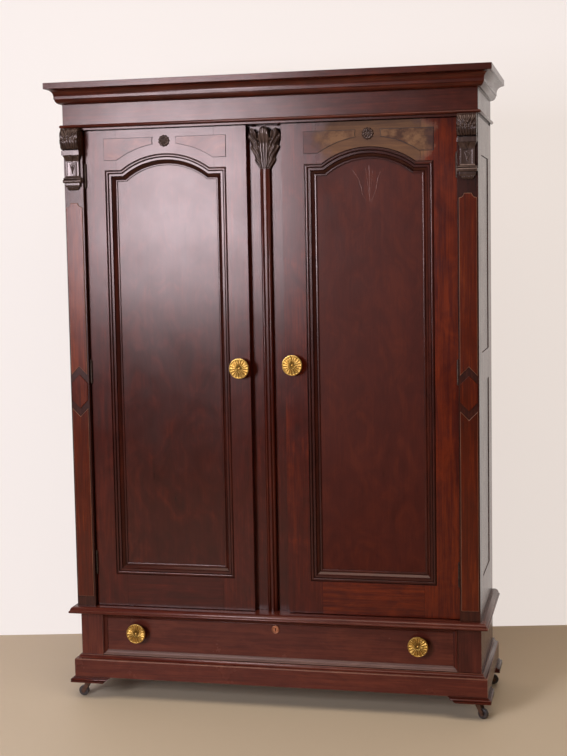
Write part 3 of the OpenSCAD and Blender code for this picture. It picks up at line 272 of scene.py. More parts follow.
def lay_grain(obj, seed, marks=None):
    """Stores each point's place in its board, grain along the third value, and the board's tone and wear."""
    mesh = obj.data
    for name, kind in (("grain", "FLOAT_VECTOR"), ("board", "FLOAT"), ("worn", "FLOAT")):
        if name not in mesh.attributes:
            mesh.attributes.new(name, kind, "POINT")
    # all exist before one is filled, because adding one moves the others
    layer, tone, fade = mesh.attributes["grain"], mesh.attributes["board"], mesh.attributes["worn"]
    rng = random.Random(seed)
    for group in sorted(islands(mesh), key=lambda g: tuple(round(c, 4) for c in mesh.vertices[g[0]].co)):
        pts = [mesh.vertices[i].co for i in group]
        size = [max(p[k] for p in pts) - min(p[k] for p in pts) for k in range(3)]
        long = size.index(max(size))
        shift = Vector((rng.uniform(0, 9), rng.uniform(0, 9), rng.uniform(0, 9)))
        order = [(long + 1) % 3, (long + 2) % 3, long]
        own = rng.random()
        centre = Vector([sum(p[k] for p in pts) / len(pts) for k in range(3)])
        shade, fading = marks(centre) if marks else (0.0, 0.0)
        for i in group:
            tone.data[i].value = own + shade
            fade.data[i].value = fading
            co = mesh.vertices[i].co
            layer.data[i].vector = Vector((co[order[0]], co[order[1]], co[order[2]])) + shift


def finish_node(name, material, edge=1.0, marks=None, rim=None):
    """Gives a CAD node its material and softens its edges by so many millimetres."""
    obj = frame["nodes"][name]
    lay_grain(obj, seed=sum(map(ord, name)), marks=marks)
    obj.data.materials.clear()
    obj.data.materials.append(material)
    if edge:
        weld = obj.modifiers.new("weld", "WELD")
        weld.merge_threshold = 1e-5
        flat = obj.modifiers.new("flat", "DECIMATE")
        flat.decimate_type = "DISSOLVE"
        flat.angle_limit = math.radians(0.5)
        bevel = obj.modifiers.new("edge", "BEVEL")
        bevel.width = edge * MM
        bevel.segments = 2
        bevel.limit_method = "ANGLE"
        bevel.angle_limit = math.radians(40)
        if rim:
            obj.data.materials.append(rim)
            bevel.material = 1


# Carved and cast pieces


def set_mode(mode):
    bpy.ops.object.mode_set(mode=mode)


def start_clean():
    """Leaves edit mode and deselects everything, because an operator acts on all that is selected."""
    if bpy.context.object and bpy.context.object.mode != "OBJECT":
        set_mode("OBJECT")
    bpy.ops.object.select_all(action="DESELECT")


def carve_sheet(name, columns, rows, place, angle=50):
    """Adds a grid, moves each point to place(u, v) in millimetres, with u and v from 0 to 1, and closes it."""
    start_clean()
    bpy.ops.mesh.primitive_grid_add(x_subdivisions=columns, y_subdivisions=rows, size=1)
    piece = bpy.context.object
    piece.name = piece.data.name = name
    for v in piece.data.vertices:
        v.co = Vector(place(v.co.x + 0.5, v.co.y + 0.5)) * MM
    set_mode("EDIT")
    bpy.ops.mesh.select_mode(type="EDGE")
    bpy.ops.mesh.select_all(action="SELECT")
    bpy.ops.mesh.remove_doubles(threshold=1e-5)
    bpy.ops.mesh.dissolve_degenerate(threshold=1e-6)
    bpy.ops.mesh.select_all(action="DESELECT")
    bpy.ops.mesh.select_non_manifold()
    if piece.data.total_edge_sel:
        bpy.ops.mesh.fill_holes(sides=0)
    bpy.ops.mesh.select_all(action="SELECT")
    bpy.ops.mesh.normals_make_consistent(inside=False)
    set_mode("OBJECT")
    bpy.ops.object.shade_smooth_by_angle(angle=math.radians(angle))
    return piece


def turn_piece(name, steps, middle, profile):
    """Extrudes a disc along a profile of (radius, forward) in millimetres, as if turned on a lathe."""
    start_clean()
    radius, forward = profile[0]
    upright = (math.pi / 2, 0, 0)
    bpy.ops.mesh.primitive_circle_add(vertices=steps, radius=radius * MM, fill_type="NGON", rotation=upright)
    piece = bpy.context.object
    piece.name = piece.data.name = name
    bpy.ops.object.transform_apply(location=True, rotation=True, scale=True)
    set_mode("EDIT")
    bpy.ops.mesh.select_all(action="SELECT")
    bpy.ops.transform.translate(value=middle - Vector((0, forward * MM, 0)))
    for wide, out in profile[1:]:
        bpy.ops.mesh.extrude_region_move(TRANSFORM_OT_translate={"value": (0, (forward - out) * MM, 0)})
        bpy.ops.transform.resize(value=(wide / radius, 1, wide / radius), center_override=middle)
        radius, forward = wide, out
    bpy.ops.mesh.select_all(action="SELECT")
    bpy.ops.mesh.normals_make_consistent(inside=False)
    set_mode("OBJECT")
    bpy.ops.object.shade_smooth_by_angle(angle=math.radians(40))
    return piece


def another(piece, name, shift=(0, 0, 0), mirrored=False):
    """A copy of a finished piece, with a mesh of its own, moved by so much or mirrored across the middle."""
    start_clean()
    piece.select_set(True)
    bpy.context.view_layer.objects.active = piece
    bpy.ops.object.duplicate()
    copy = bpy.context.object
    copy.name = copy.data.name = name
    set_mode("EDIT")
    bpy.ops.mesh.select_all(action="SELECT")
    bpy.ops.transform.translate(value=shift)
    if mirrored:
        bpy.ops.transform.resize(value=(-1, 1, 1), center_override=(0, 0, 0))
        bpy.ops.mesh.normals_make_consistent(inside=False)
    set_mode("OBJECT")
    return copy


def join(pieces, name):
    """Makes one piece of several and names it."""
    start_clean()
    for piece in pieces:
        piece.select_set(True)
    bpy.context.view_layer.objects.active = pieces[0]
    bpy.ops.object.join()
    pieces[0].name = pieces[0].data.name = name
    return pieces[0]


def pick_points(piece, test):
    """Selects the points of a piece that pass a test, and leaves it in edit mode."""
    set_mode("EDIT")
    bpy.ops.mesh.select_mode(type="VERT")
    bpy.ops.mesh.select_all(action="DESELECT")
    set_mode("OBJECT")
    for v in piece.data.vertices:
        v.select = bool(test(v.co))
    set_mode("EDIT")


def settle(piece, body, slot, material, *nodes):
    """Fixes a finished piece to its body, with its material, and hides the nodes that it stands for."""
    piece.data.materials.clear()
    piece.data.materials.append(bpy.data.materials[material])
    lay_grain(piece, seed=len(piece.name))
    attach(piece, body)
    if nodes:
        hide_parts(*nodes)


def stroke(x, z, points, width):
    """How close a point lies to a line of points: 1 on it, 0 at half its width and beyond."""
    best = 1e9
    for (x0, z0), (x1, z1) in zip(points, points[1:]):
        dx, dz = x1 - x0, z1 - z0
        t = max(0.0, min(1.0, ((x - x0) * dx + (z - z0) * dz) / (dx * dx + dz * dz)))
        best = min(best, (x - x0 - t * dx) ** 2 + (z - z0 - t * dz) ** 2)
    return max(0.0, 1 - best / (width / 2) ** 2)


def bell(value, middle, reach):
    """1 at the middle, falling to 0 at the reach and beyond."""
    return max(0.0, 1 - ((value - middle) / reach) ** 2)


def soft_step(value, start, end):
    """0 up to the start, 1 from the end on, and a soft slope between them."""
    t = max(0.0, min(1.0, (value - start) / (end - start)))
    return t * t * (3 - 2 * t)


CAPITAL_FOOT = 19  # how far the capital's foot stands out, in millimetres
CAPITAL_SIDE, CAPITAL_END = 0.03, 0.02  # shares of its sheet that run back to the wood, at the sides and the ends
# The capital, seen from the front: half widths of its ragged outline over its height, as shares
LEAF_EDGE = [
    (0.0, 0.34), (0.06, 0.42), (0.19, 0.62), (0.22, 0.64), (0.26, 0.59), (0.36, 0.7), (0.49, 0.86), (0.52, 0.88),
    (0.57, 0.81), (0.66, 0.88), (0.78, 0.99), (0.84, 1.0), (0.92, 0.95), (1.0, 0.86),
]
# How high the leaf stands at shares of its half width: a round middle, a notch and an outer tip on each side
LEAF_TOP = [
    (0.0, 1.0), (0.14, 0.99), (0.24, 0.95), (0.31, 0.88), (0.36, 0.8), (0.42, 0.79), (0.5, 0.84), (0.66, 0.92),
    (0.82, 0.96), (0.92, 0.94), (1.0, 0.88),
]


def along(table, t):
    """The value at t in a table of (place, value), on the straight line between its neighbours."""
    for (t0, w0), (t1, w1) in zip(table, table[1:]):
        if t <= t1:
            return w0 + (w1 - w0) * max(0.0, (t - t0) / (t1 - t0))
    return table[-1][1]


def capital_point(u, v, half, height, reach, foot):
    """A point of the capital's carved face, from its foot centre: x, forward and up."""
    t = max(0.0, min(1.0, (v - CAPITAL_END) / (1 - 2 * CAPITAL_END)))
    edge = half * along(LEAF_EDGE, t)
    phi = 2 * max(0.0, min(1.0, (u - CAPITAL_SIDE) / (1 - 2 * CAPITAL_SIDE))) - 1
    side = abs(phi)
    x = phi * edge
    z = height * t * (1 - (1 - along(LEAF_TOP, side)) * soft_step(t, 0.5, 1.0))
    # the leaf leans forward towards its top, and the middle one rolls over into a round tip
    out = foot * 0.95 + (reach * 0.66 - foot) * t**1.4
    out *= max(0.0, 1 - side**3) ** 0.45
    out += reach * 0.14 * soft_step(t, 0.7, 0.95) * bell(side, 0.85, 0.4)
    middle = 1 - soft_step(side, 0.3, 0.36)
    roll = bell(t, 0.86, 0.2)
    out += middle * (reach * 0.2 * soft_step(t, 0.6, 0.85) - reach * 0.24 * soft_step(t, 0.93, 1.0))
    # ridges fan out from the foot; on the outer leaves they run out to the points of the edge
    fan = 1 - abs(((phi * 4.5 + 0.5) % 1.0) - 0.5) * 2
    slant = 1 - abs(((side * 3.2 - t * 3.33 + 0.03) % 1.0) - 0.5) * 2
    fan, slant = soft_step(fan, 0, 0.8), soft_step(slant, 0, 0.9)
    out += middle * (1 - 0.5 * roll) * 5.0 * fan * (0.35 + 0.65 * t)
    out += (1 - middle) * 7.0 * slant * (0.25 + 0.75 * t)
    out -= 6.0 * bell(side, 0.38, 0.08) * (0.3 + 0.7 * t)
    out = max(out, 3.0)
    out *= min(1.0, min(u, 1 - u) / CAPITAL_SIDE)
    out *= min(1.0, min(v, 1 - v) / CAPITAL_END)
    return x, out, z


CORBEL_HEIGHT = 209  # the height that the corbel's outline and marks are drawn for, in millimetres
CORBEL_SIDE, CORBEL_END = 0.16, 0.006  # shares of its sheet that run back to the wood
SCROLL_FOOT = -74  # foot of the corbel's scroll, below its top
# What stands proud: lines of (x, z), width and height, in millimetres, on half the scroll and on the neck
SCROLL_MARKS = [
    ([(0, -1), (0, -30)], 8.5, 4.0),
    ([(6, -29), (11, -17), (16, -3)], 8.0, 4.2),
    ([(15, -31), (23, -20), (28, -6)], 8.0, 3.8),
    ([(0, -46), (0, -73)], 8.0, 3.6),
    ([(10, -46), (8, -72)], 7.5, 3.4),
    ([(20, -46), (16, -71)], 7.5, 3.2),
    ([(29, -46), (24, -69)], 6.5, 3.0),
]
SPRIG_MARKS = [
    ([(0, -151), (-2, -138), (-8, -122)], 2.4, 1.6),
    ([(0, -151), (-1, -136), (-2, -119)], 2.4, 1.6),
    ([(0, -151), (1, -137), (4, -120)], 2.4, 1.6),
    ([(0, -151), (3, -140), (10, -124)], 2.4, 1.6),
]


def corbel_outline(z, reach, half):
    """How far the corbel stands out, and half its width, at a height z below its top."""
    if z > SCROLL_FOOT:
        q = abs((z + 37) / 37)
        belly = (1 - q**2.6) ** (1 / 2.6)
        return 0.36 * reach + 0.64 * reach * belly, half * (0.96 + 0.04 * belly)
    if z > -76:
        return reach * 0.5, half * 0.93
    if z > -91:
        return reach * 0.66, half
    if z > -113:
        t = (-91 - z) / 22
        fall = 1 - math.sin(t * math.pi / 2)
        return 9 + (reach * 0.55 - 9) * fall, half * (0.76 + 0.2 * fall)
    if z > -160:
        return 9.0, half * 0.76
    if z > -167:
        t = (-160 - z) / 7
        return 9 + 5 * t * t, half * (0.76 + 0.2 * t * t)
    if z > -171:
        q = (z + 169) / 2
        return 14 + 2.4 * math.sqrt(max(0.0, 1 - q * q)), half * 0.98
    if z > -185:
        q = (z + 178) / 7
        round_off = math.sqrt(max(0.0, 1 - q * q))
        return 12 + 6.5 * round_off, half * (0.93 + 0.1 * round_off)
    if z > -198:
        t = (-185 - z) / 13
        return 12.5 - 2.5 * t**4, half * (0.84 - 0.05 * t**4)
    t = min(1.0, (-198 - z) / 11)
    fall = math.sqrt(max(0.0, 1 - t * t))
    return 1.5 + 8.5 * fall, half * (0.36 + 0.3 * fall)


def corbel_point(u, v, reach, half, height):
    """A point of the carved corbel: x, forward and below its top."""
    z = -height * max(0.0, min(1.0, (v - CORBEL_END) / (1 - 2 * CORBEL_END)))
    zs = z * CORBEL_HEIGHT / height
    out, wide = corbel_outline(zs, reach, half)
    share = min(u, 1 - u) / CORBEL_SIDE
    if share < 1:
        x = (-wide if u < 0.5 else wide) * (1 - 0.02 * share**8)
        y = (out - 0.8) * share
        if zs > SCROLL_FOOT and y > 1:
            # a volute cut into each side of the scroll
            dy, dz = y - 0.36 * reach, zs + 37
            turn = math.atan2(dz, dy) / (2 * math.pi)
            ring = (math.hypot(dy, dz) / 9.0 - turn) % 1.0
            x *= 1 - 0.05 * bell(ring, 0.5, 0.28)
    else:
        x = wide * (2 * (u - CORBEL_SIDE) / (1 - 2 * CORBEL_SIDE) - 1)
        y = out - 0.8 * bell(abs(x), wide, 1.2)
        if zs > SCROLL_FOOT:
            for points, width, depth in SCROLL_MARKS:
                y += depth * stroke(abs(x), zs, points, width)
            for k in range(-2, 3):
                y += 4.0 * max(0.0, 1 - (((x - 12.5 * k) / 5.4) ** 2 + ((zs + 38.5) / 5.4) ** 2))
            y -= 3.2
        elif -115 < zs < -91:
            leaf = bell(x, 0, 11 * max(0.05, 1 - (-91 - zs) / 24))
            y += 4.5 * leaf - (0.8 if leaf and abs(x) < 0.8 else 0)
        elif -160 < zs <= -115:
            y -= 1.4 * bell(x, 0, 17) ** 0.2
            for points, width, depth in SPRIG_MARKS:
                y += depth * stroke(x, zs, points, width)
        elif zs < -187:
            y += 0.8 * math.cos(x * 0.9) * (1 if zs < -198 else 0)
    return x, y * min(1.0, min(v, 1 - v) / CORBEL_END), z


ROSETTE_EDGE = 0.88  # share of its sheet where the rosette's face turns back to the wood


def rosette_point(u, v, radius, petals):
    """A point of a carved rosette, from its middle: x, forward and up. u goes round and v goes out."""
    a = 2 * math.pi * u
    wave = 0.5 + 0.5 * math.cos(petals * a)
    edge = radius * (0.9 + 0.1 * wave)
    if v < ROSETTE_EDGE:
        r = edge * v / ROSETTE_EDGE
        q = r / edge
        high = 4.0 + 2.6 * bell(q, 0.74, 0.28) * (0.25 + 0.75 * wave)
        inner = 0.5 + 0.5 * math.cos(petals * a * 0.6 + 9 * q)
        high += 2.6 * bell(q, 0.36, 0.2) * (0.2 + 0.8 * inner) - 1.8 * bell(q, 0.53, 0.08)
        high += 1.5 * bell(q, 0, 0.16)
        high -= 2.2 * bell(q, 1.0, 0.12)
    else:
        r, high = edge, 2.0 * (1 - v) / (1 - ROSETTE_EDGE)
    return r * math.cos(a), high, r * math.sin(a)


BOLT_END = 9  # how far a knob's bolt and nut stand out behind the board, in millimetres


def knob_profile(radius, reach, depth):
    """Radius and distance forward of the board's face: bolt end, nut, washer, bolt, rose, neck and face."""
    return [
        (2.2, -depth - BOLT_END), (3, -depth - 8.2), (3, -depth - 6.5), (5.6, -depth - 6.5), (5.6, -depth - 1.6),
        (9, -depth - 1.6), (9, -depth), (3, -depth), (3, 0), (15, 0), (15.6, 1.4), (14.2, 3.2), (10.4, 4.8),
        (8.6, 8), (8.3, 13), (10.6, 18), (17, reach - 12.4), (radius - 4, reach - 10), (radius - 1, reach - 7.8),
        (radius, reach - 5), (radius - 0.5, reach - 2.6), (radius - 1.4, reach - 1.2), (radius - 2.6, reach - 1),
        (radius - 3.6, reach - 1.8), (radius - 4.3, reach - 4), (radius - 5.6, reach - 4.2),
        (radius - 8, reach - 4.1), (radius - 11, reach - 3.9), (radius * 0.42, reach - 3.7), (7, reach - 3.5),
        (4.6, reach - 3.3), (3.4, reach - 2), (1.6, reach - 1.2),
    ]


SIDE_LAP = 9.5  # how far the side panels reach into their grooves and clear the frame, in millimetres
ARCH_HALF, ARCH_RISE = 156.0, 51.0  # half width and height of the arch over the shoulders, in millimetres
# Section of the door moulding: distance from its outer edge, and depth below the door's face
MOULD_SECTION = [
    (0.3, 14.0), (0.3, 0.2), (0.7, 0.0), (1.6, 0.0), (2.0, 0.5), (2.2, 3.2), (2.7, 3.8),
    *[(2.6 + 9.2 * k / 16, 4.0 - 3.9 * (1 - abs(k / 8 - 1) ** 3) ** (1 / 3)) for k in range(17)],
    (12.0, 6.0), (12.4, 6.2), (12.8, 5.8), (13.0, 4.6), (13.4, 4.3), (13.9, 4.3), (19.9, 4.3), (20.2, 4.3),
    (20.5, 4.8), (20.6, 6.4), (21.1, 8.6), (22.5, 10.5), (24.5, 12.2), (26.9, 13.9), (29.2, 15.7),
    (30.9, 17.4), (31.5, 18.2), (31.9, 18.1), (32.1, 16.7),
    *[(32.4 + k, 16.3 - 0.3 * (1 - (k / 3 - 1) ** 2)) for k in range(7)],
    (38.8, 16.7), (38.9, 17.4), (38.9, 19.9), (22.3, 19.9), (22.3, 14.0),
]


def moulding_corners(w, foot, shoulder, off):
    """The corners of the moulding's outline at a distance inside its outer edge, clockwise from the left foot."""
    radius = (ARCH_HALF**2 + ARCH_RISE**2) / (2 * ARCH_RISE)
    high = shoulder + ARCH_RISE - radius
    up = shoulder - off
    spring = math.sqrt((radius - off) ** 2 - (up - high) ** 2)
    corners = [(off - w, foot + off), (off - w, up), (-spring, up), (spring, up), (w - off, up), (w - off, foot + off)]
    return corners, radius - off, high


# Sizes and colours that a user would change


class WardrobeStage(bpy.types.PropertyGroup):
    floor_colour: bpy.props.FloatVectorProperty(
        name="Floor", description="Colour of the plain floor", subtype="COLOR", size=3, default=linear("#bba384")
    )
    wall_colour: bpy.props.FloatVectorProperty(
        name="Wall", description="Colour of the plain wall", subtype="COLOR", size=3, default=linear("#f7ece5")
    )
    camera_height: bpy.props.FloatProperty(
        name="Eye height", description="Height of the camera above the floor", subtype="DISTANCE", default=CAMERA_HEIGHT
    )


class WardrobeKnobs(bpy.types.PropertyGroup):
    rays: bpy.props.IntProperty(name="Rays", description="Number of rays on each knob", default=18, min=8, max=40)
    door: bpy.props.FloatProperty(
        name="Door", description="Thickness that a door knob's bolt passes", subtype="DISTANCE", default=0.028
    )
    drawer_front: bpy.props.FloatProperty(
        name="Drawer front", description="Thickness that a drawer knob's bolt passes", subtype="DISTANCE", default=0.02
    )


class WARDROBE_OT_stage(bpy.types.Operator):
    """Adds the camera, the floor, the wall and the lamps"""

    bl_idname = "wardrobe.stage"
    bl_label = "Stage"

    def execute(self, context):
        scene, sizes = context.scene, context.scene.wardrobe_stage
        data = bpy.data.cameras.new("camera")
        data.lens, data.sensor_width = LENS, SENSOR
        camera = bpy.data.objects.new("camera", data)
        scene.collection.objects.link(camera)
        ahead = Vector((-math.sin(YAW) * math.cos(PITCH), math.cos(YAW) * math.cos(PITCH), math.sin(PITCH)))
        right = Vector((math.cos(YAW), math.sin(YAW), 0))
        up = right.cross(ahead)
        side = right * math.cos(ROLL) + up * math.sin(ROLL)
        top = up * math.cos(ROLL) - right * math.sin(ROLL)
        place = Vector((CAMERA_X, FACE_Y - CAMERA_AWAY, sizes.camera_height))
        camera.matrix_world = Matrix([(side[k], top[k], -ahead[k], place[k]) for k in range(3)] + [(0, 0, 0, 1)])
        scene.camera = camera

        start_clean()
        bpy.ops.mesh.primitive_plane_add(size=1, location=(0, 0, 0))
        floor = context.object
        floor.name = "floor"
        floor.scale = (24, 24, 1)
        floor.data.materials.append(flat_finish("plain floor", tuple(sizes.floor_colour), 0.6))
        bpy.ops.mesh.primitive_plane_add(size=1, rotation=(math.pi / 2, 0, YAW))
        wall = context.object
        wall.name = "wall"
        wall.scale = (24, 12, 1)
        wall.location = Vector((place.x, place.y, 0)) + Vector((ahead.x, ahead.y, 0)).normalized() * WALL_AWAY
        wall.data.materials.append(flat_finish("plain wall", tuple(sizes.wall_colour), 0.9, glow=0.75))

        scene.view_settings.view_transform = "Standard"
        world = bpy.data.worlds.new("studio")
        scene.world = world
        world.use_nodes = True
        sky = world.node_tree.nodes["Background"].inputs
        sky["Color"].default_value, sky["Strength"].default_value = (1.0, 0.97, 0.94, 1), 0.1

        def lamp(name, where, look, width, height, power, colour, spread=math.pi):
            """Adds a soft lamp that looks at a point. Lengths are in metres and the power is in watts."""
            data = bpy.data.lights.new(name, "AREA")
            data.shape, data.size, data.size_y = "RECTANGLE", width, height
            data.energy, data.color, data.spread = power, colour, spread
            obj = bpy.data.objects.new(name, data)
            obj.location = where
            obj.rotation_euler = (Vector(look) - Vector(where)).to_track_quat("-Z", "Y").to_euler()
            scene.collection.objects.link(obj)

        warm = (1.0, 0.96, 0.92)
        lamp("window", (-1.66, FACE_Y - 4.4, 1.98), (-0.4, 0, 1.2), 1.2, 1.4, 205, (0.86, 0.97, 1.24))
        lamp("ceiling", (0.3, FACE_Y - 1.8, 4.2), (0.1, 0, 0.8), 3.6, 2.4, 44, warm, spread=1.9)
        lamp("right", (4.4, FACE_Y - 1.6, 3.2), (0.4, 0, 1.0), 1.8, 1.8, 34, warm)
        return {"FINISHED"}


class WARDROBE_OT_finishes(bpy.types.Operator):
    """Gives every board its wood and every fitting its metal"""

    bl_idname = "wardrobe.finishes"
    bl_label = "Finishes"

    def execute(self, context):
        # french polished mahogany: a thin glossy film, red brown, with dark pores
        mahogany = polished_wood("french polished mahogany", "#240904", "#380e06", "#541a0b", rough=0.22)
        crown = polished_wood("stained mahogany cornice", "#220a05", "#3a140b", "#562010", rough=0.23)
        dark = polished_wood("stained mahogany ground", "#160805", "#2a0f08", "#401a0e", rough=0.23)
        polished_wood("dark mahogany moulding", "#1c0906", "#2e0f09", "#46190e", rough=0.2)
        # rubbed by feet and brooms: lighter, browner and less glossy; the pale colours paint both the worn lower border
        # and the light that its upturned slope reflects
        base = polished_wood(
            "rubbed mahogany base", "#2e100a", "#461a11", "#5c2819", rough=0.25,
            bleached=("#5a4238", "#705448", "#8a6c5c"),
        )
        # lighter edges on mouldings, panels and the drawer's border: worn by rubbing, and painted highlights where
        # light catches them
        rubbed = polished_wood("rubbed edge", "#52301f", "#6c432e", "#8a5e44", rough=0.4)
        # a painted reflection of orange sunlight: lighter and redder boards that keep their gloss; the pilaster panels'
        # own veneer is also lighter than their ground
        orange = polished_wood("faded mahogany", "#2a0b03", "#461304", "#6a280a", figure=0.3, rough=0.22)
        faded_frame_painted_sun = polished_wood(
            "sun faded door frame", "#240904", "#3a0e06", "#5e1e08", rough=0.22, shine=0.26, patch=True
        )
        # sawn veneer with a feathered figure, bright on the left door and dulled by dust on the right one
        figured = polished_wood("feather mahogany veneer", "#220702", "#300b04", "#441407", figure=1.0, rough=0.22)
        dull = polished_wood("dulled mahogany veneer", "#2e0c04", "#3a1107", "#481809", 1.0, rough=0.4, shine=0.12)
        # burl veneer: swirling and cloudy, and worn to its bare colour on the right door
        burl = polished_wood("burl walnut veneer", "#2a1008", "#4a1c10", "#6c3a26", figure=1.5)
        thin = polished_wood(
            "worn walnut veneer", "#200a05", "#34120a", "#4c2012", 1.2, rough=0.3, shine=0.2, patch=True, mottle=True,
            bleached=("#2c160b", "#442817", "#64442a"),
        )
        # carved with gouges: bright on the ridges, and black in the cuts with old polish and painted shade
        carved = polished_wood(
            "carved mahogany", "#1e130e", "#34241d", "#544138", rough=0.22, corner_shade=0.85, shine=0.5, hollow=0.006
        )
        # the ornament, with a little painted shade in its corners
        polished_wood("worn ornament", "#3c170c", "#4a2014", "#5a2c1c", corner_shade=0.2)
        # painted shade of the gap round each spandrel: a thin dark line on its edges
        gap_shade = flat_finish("dark glue line", linear("#1c0e09"), 0.6)
        pine = bare_pine("aged pine")
        # cast brass, gilt and toned: satin yellow with brown in the flutes
        brass = plain_metal("toned gilt brass", "#bb8f4a", "#99722f", 0.36, patina=0.9)
        copper = plain_metal("toned copper", "#a5694a", "#7c4630", 0.35)
        # browned steel, cast iron and turned wood of the casters: dark and dull
        steel = plain_metal("browned steel", "#4a3a30", "#2a201a", 0.45)
        iron = plain_metal("dark cast iron", "#60402e", "#38261c", 0.45, metallic=0.7)
        wheel = plain_metal("dark turned wheel", "#3a2c24", "#1e1511", 0.45, metallic=0.0)
        slots = {
            "mahogany": mahogany, "carving": carved, "pilaster_ground": dark, "figured_veneer": figured,
            "burl_veneer": burl, "pine": pine, "brass": brass, "caster_iron": iron, "caster_wheel": wheel,
        }
        # nodes that differ from the rest of their slot
        own = {"right_door_frame": faded_frame_painted_sun, "right_door_panel": dull, "right_door_spandrels": thin}
        own.update({"drawer_lock": copper, "case_fittings": steel})
        own.update(dict.fromkeys(("pilaster_panels", "pilaster_lozenges"), orange))
        own.update(dict.fromkeys(("cornice_moulding", "frieze", "frieze_bead", "case_top"), crown))
        own.update(dict.fromkeys(("waist_moulding", "base_frame", "plinth", "drawer_front", "drawer_border"), base))
        for side in ("left", "right"):
            own[side + "_door_hinges"] = own[side + "_door_catch"] = steel
        spandrels = ("left_door_spandrels", "right_door_spandrels")
        # edges rounded by more or less than 1 mm, and the edges with a colour of their own: rubbed edges with painted
        # highlights, and painted shade round the spandrels
        rounded = {"pilaster_panels": 1.4, "pilaster_lozenges": 2.2, "plinth": 1.6, "cornice_moulding": 0.8}
        rounded.update({"waist_moulding": 1.8, **dict.fromkeys(spandrels, 1.8)})
        rims = dict.fromkeys(("pilaster_panels", "waist_moulding", "plinth", "drawer_border", "base_frame"), rubbed)
        # the spandrels' edges carry the painted shade of their gap
        rims.update(dict.fromkeys(spandrels, gap_shade))
        right_stile = 0.5  # the right door's outer stile lies beyond this x, in metres
        border_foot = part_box("drawer_border")[0].z + 30 * MM

        def faded_and_sunlit_boards(centre):
            """The right door's frame may fade anywhere, and its right stile is lighter and redder: a painted reflection
            of orange sunlight.
            """
            return (0.8 if centre.x > right_stile else 0.0), 1.0

        def worn_and_lit_border(centre):
            """Dust and feet have worn the lower length of the drawer's border, and its paler colour there also paints
            the light that its upturned slope reflects.
            """
            return 0.0, 0.75 * float(centre.z < border_foot)

        marked = {"right_door_frame": faded_and_sunlit_boards, "right_door_spandrels": faded_and_sunlit_boards, "drawer_border": worn_and_lit_border}
        for part in frame["record"]["subparts"]:
            name, slot = part["node"], part["material_slot"]
            cast = slot in ("brass", "caster_iron", "caster_wheel", "carving")
            edge = 0 if cast else rounded.get(name, 1.0)
            finish_node(name, own.get(name, slots[slot]), edge=edge, marks=marked.get(name), rim=rims.get(name))
        return {"FINISHED"}


class WARDROBE_OT_mouldings(bpy.types.Operator):
    """Runs the arched moulding round each door panel, in six mitred lengths"""

    bl_idname = "wardrobe.mouldings"
    bl_label = "Door mouldings"

    def execute(self, context):
        low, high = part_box("left_door_moulding")
        middle, front = (low.x + high.x) / 2 / MM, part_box("left_door_frame")[0].y / MM
        half, foot, shoulder = (high.x - low.x) / 2 / MM + 0.3, low.z / MM - 0.3, high.z / MM + 0.3 - ARCH_RISE
        count, arch = len(MOULD_SECTION), 2
        made = []
        for length in range(6):

            def place(u, v):
                off, depth = MOULD_SECTION[round(u * count) % count]
                corners, radius, centre = moulding_corners(half, foot, shoulder, off)
                (x0, z0), (x1, z1) = corners[length], corners[(length + 1) % 6]
                if length == arch:
                    turn = math.asin(x1 / radius) * (2 * v - 1) * 0.9992
                    x, z = radius * math.sin(turn), centre + radius * math.cos(turn)
                else:
                    # a hairline joint at each mitre
                    gap = 0.12 / math.hypot(x1 - x0, z1 - z0)
                    share = gap + v * (1 - 2 * gap)
                    x, z = x0 + (x1 - x0) * share, z0 + (z1 - z0) * share
                return middle + x, front + depth, z

            made.append(carve_sheet("moulding", count, 60 if length == arch else 1, place, 42))
        left = join(made, "left_run_moulding")
        right = another(left, "right_run_moulding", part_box("right_door_moulding")[0] - low)
        for piece, side in ((left, "left"), (right, "right")):
            settle(piece, side + "_door", "mahogany", "dark mahogany moulding", side + "_door_moulding")
        return {"FINISHED"}


class WARDROBE_OT_side_fields(bpy.types.Operator):
    """Raises the fields of the side panels to just below the faces of their frames"""

    bl_idname = "wardrobe.side_fields"
    bl_label = "Side panels"

    def execute(self, context):
        panels = frame["nodes"]["side_panels"].data
        sunk, edge = 2.5 * MM, 1.5 * MM
        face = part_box("right_side_frame")[1].x - sunk
        made = []
        for group in islands(panels):
            points = [panels.vertices[i].co for i in group]
            low = Vector([min(p[k] for p in points) for k in range(3)])
            high = Vector([max(p[k] for p in points) for k in range(3)])
            if low.x < 0:
                continue
            start_clean()
            bpy.ops.mesh.primitive_cube_add(size=1, location=(low + high) / 2, scale=high - low)
            piece = context.object
            bpy.ops.object.transform_apply(location=True, rotation=True, scale=True)
            set_mode("EDIT")
            bpy.ops.mesh.select_mode(type="FACE")
            bpy.ops.mesh.select_all(action="DESELECT")
            set_mode("OBJECT")
            for side in piece.data.polygons:
                side.select = side.normal.x > 0.9
            set_mode("EDIT")
            bpy.ops.mesh.inset(thickness=SIDE_LAP * MM, depth=0)
            bpy.ops.mesh.extrude_region_move(TRANSFORM_OT_translate={"value": (face - high.x - edge, 0, 0)})
            bpy.ops.mesh.inset(thickness=edge, depth=edge)
            set_mode("OBJECT")
            made += [piece, another(piece, "side_field", mirrored=True)]
        fields = join(made, "side_panel_fields")
        settle(fields, "root", "mahogany", "french polished mahogany", "side_panels")
        return {"FINISHED"}


class WARDROBE_OT_capital(bpy.types.Operator):
    """Carves the leaf capital over the centre stile"""

    bl_idname = "wardrobe.capital"
    bl_label = "Leaf capital"

    def execute(self, context):
        low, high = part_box("leaf_capital")
        middle, back = (low.x + high.x) / 2, high.y
        half, height, reach = (high.x - low.x) / 2 / MM, (high.z - low.z) / MM, (high.y - low.y) / MM

        def place(u, v):
            x, out, up = capital_point(u, v, half, height, reach, CAPITAL_FOOT)
            return middle / MM + x, back / MM - out, low.z / MM + up

        piece = carve_sheet("carved_capital", 150, 150, place, 60)
        settle(piece, "root", "carving", "carved mahogany", "leaf_capital")
        return {"FINISHED"}


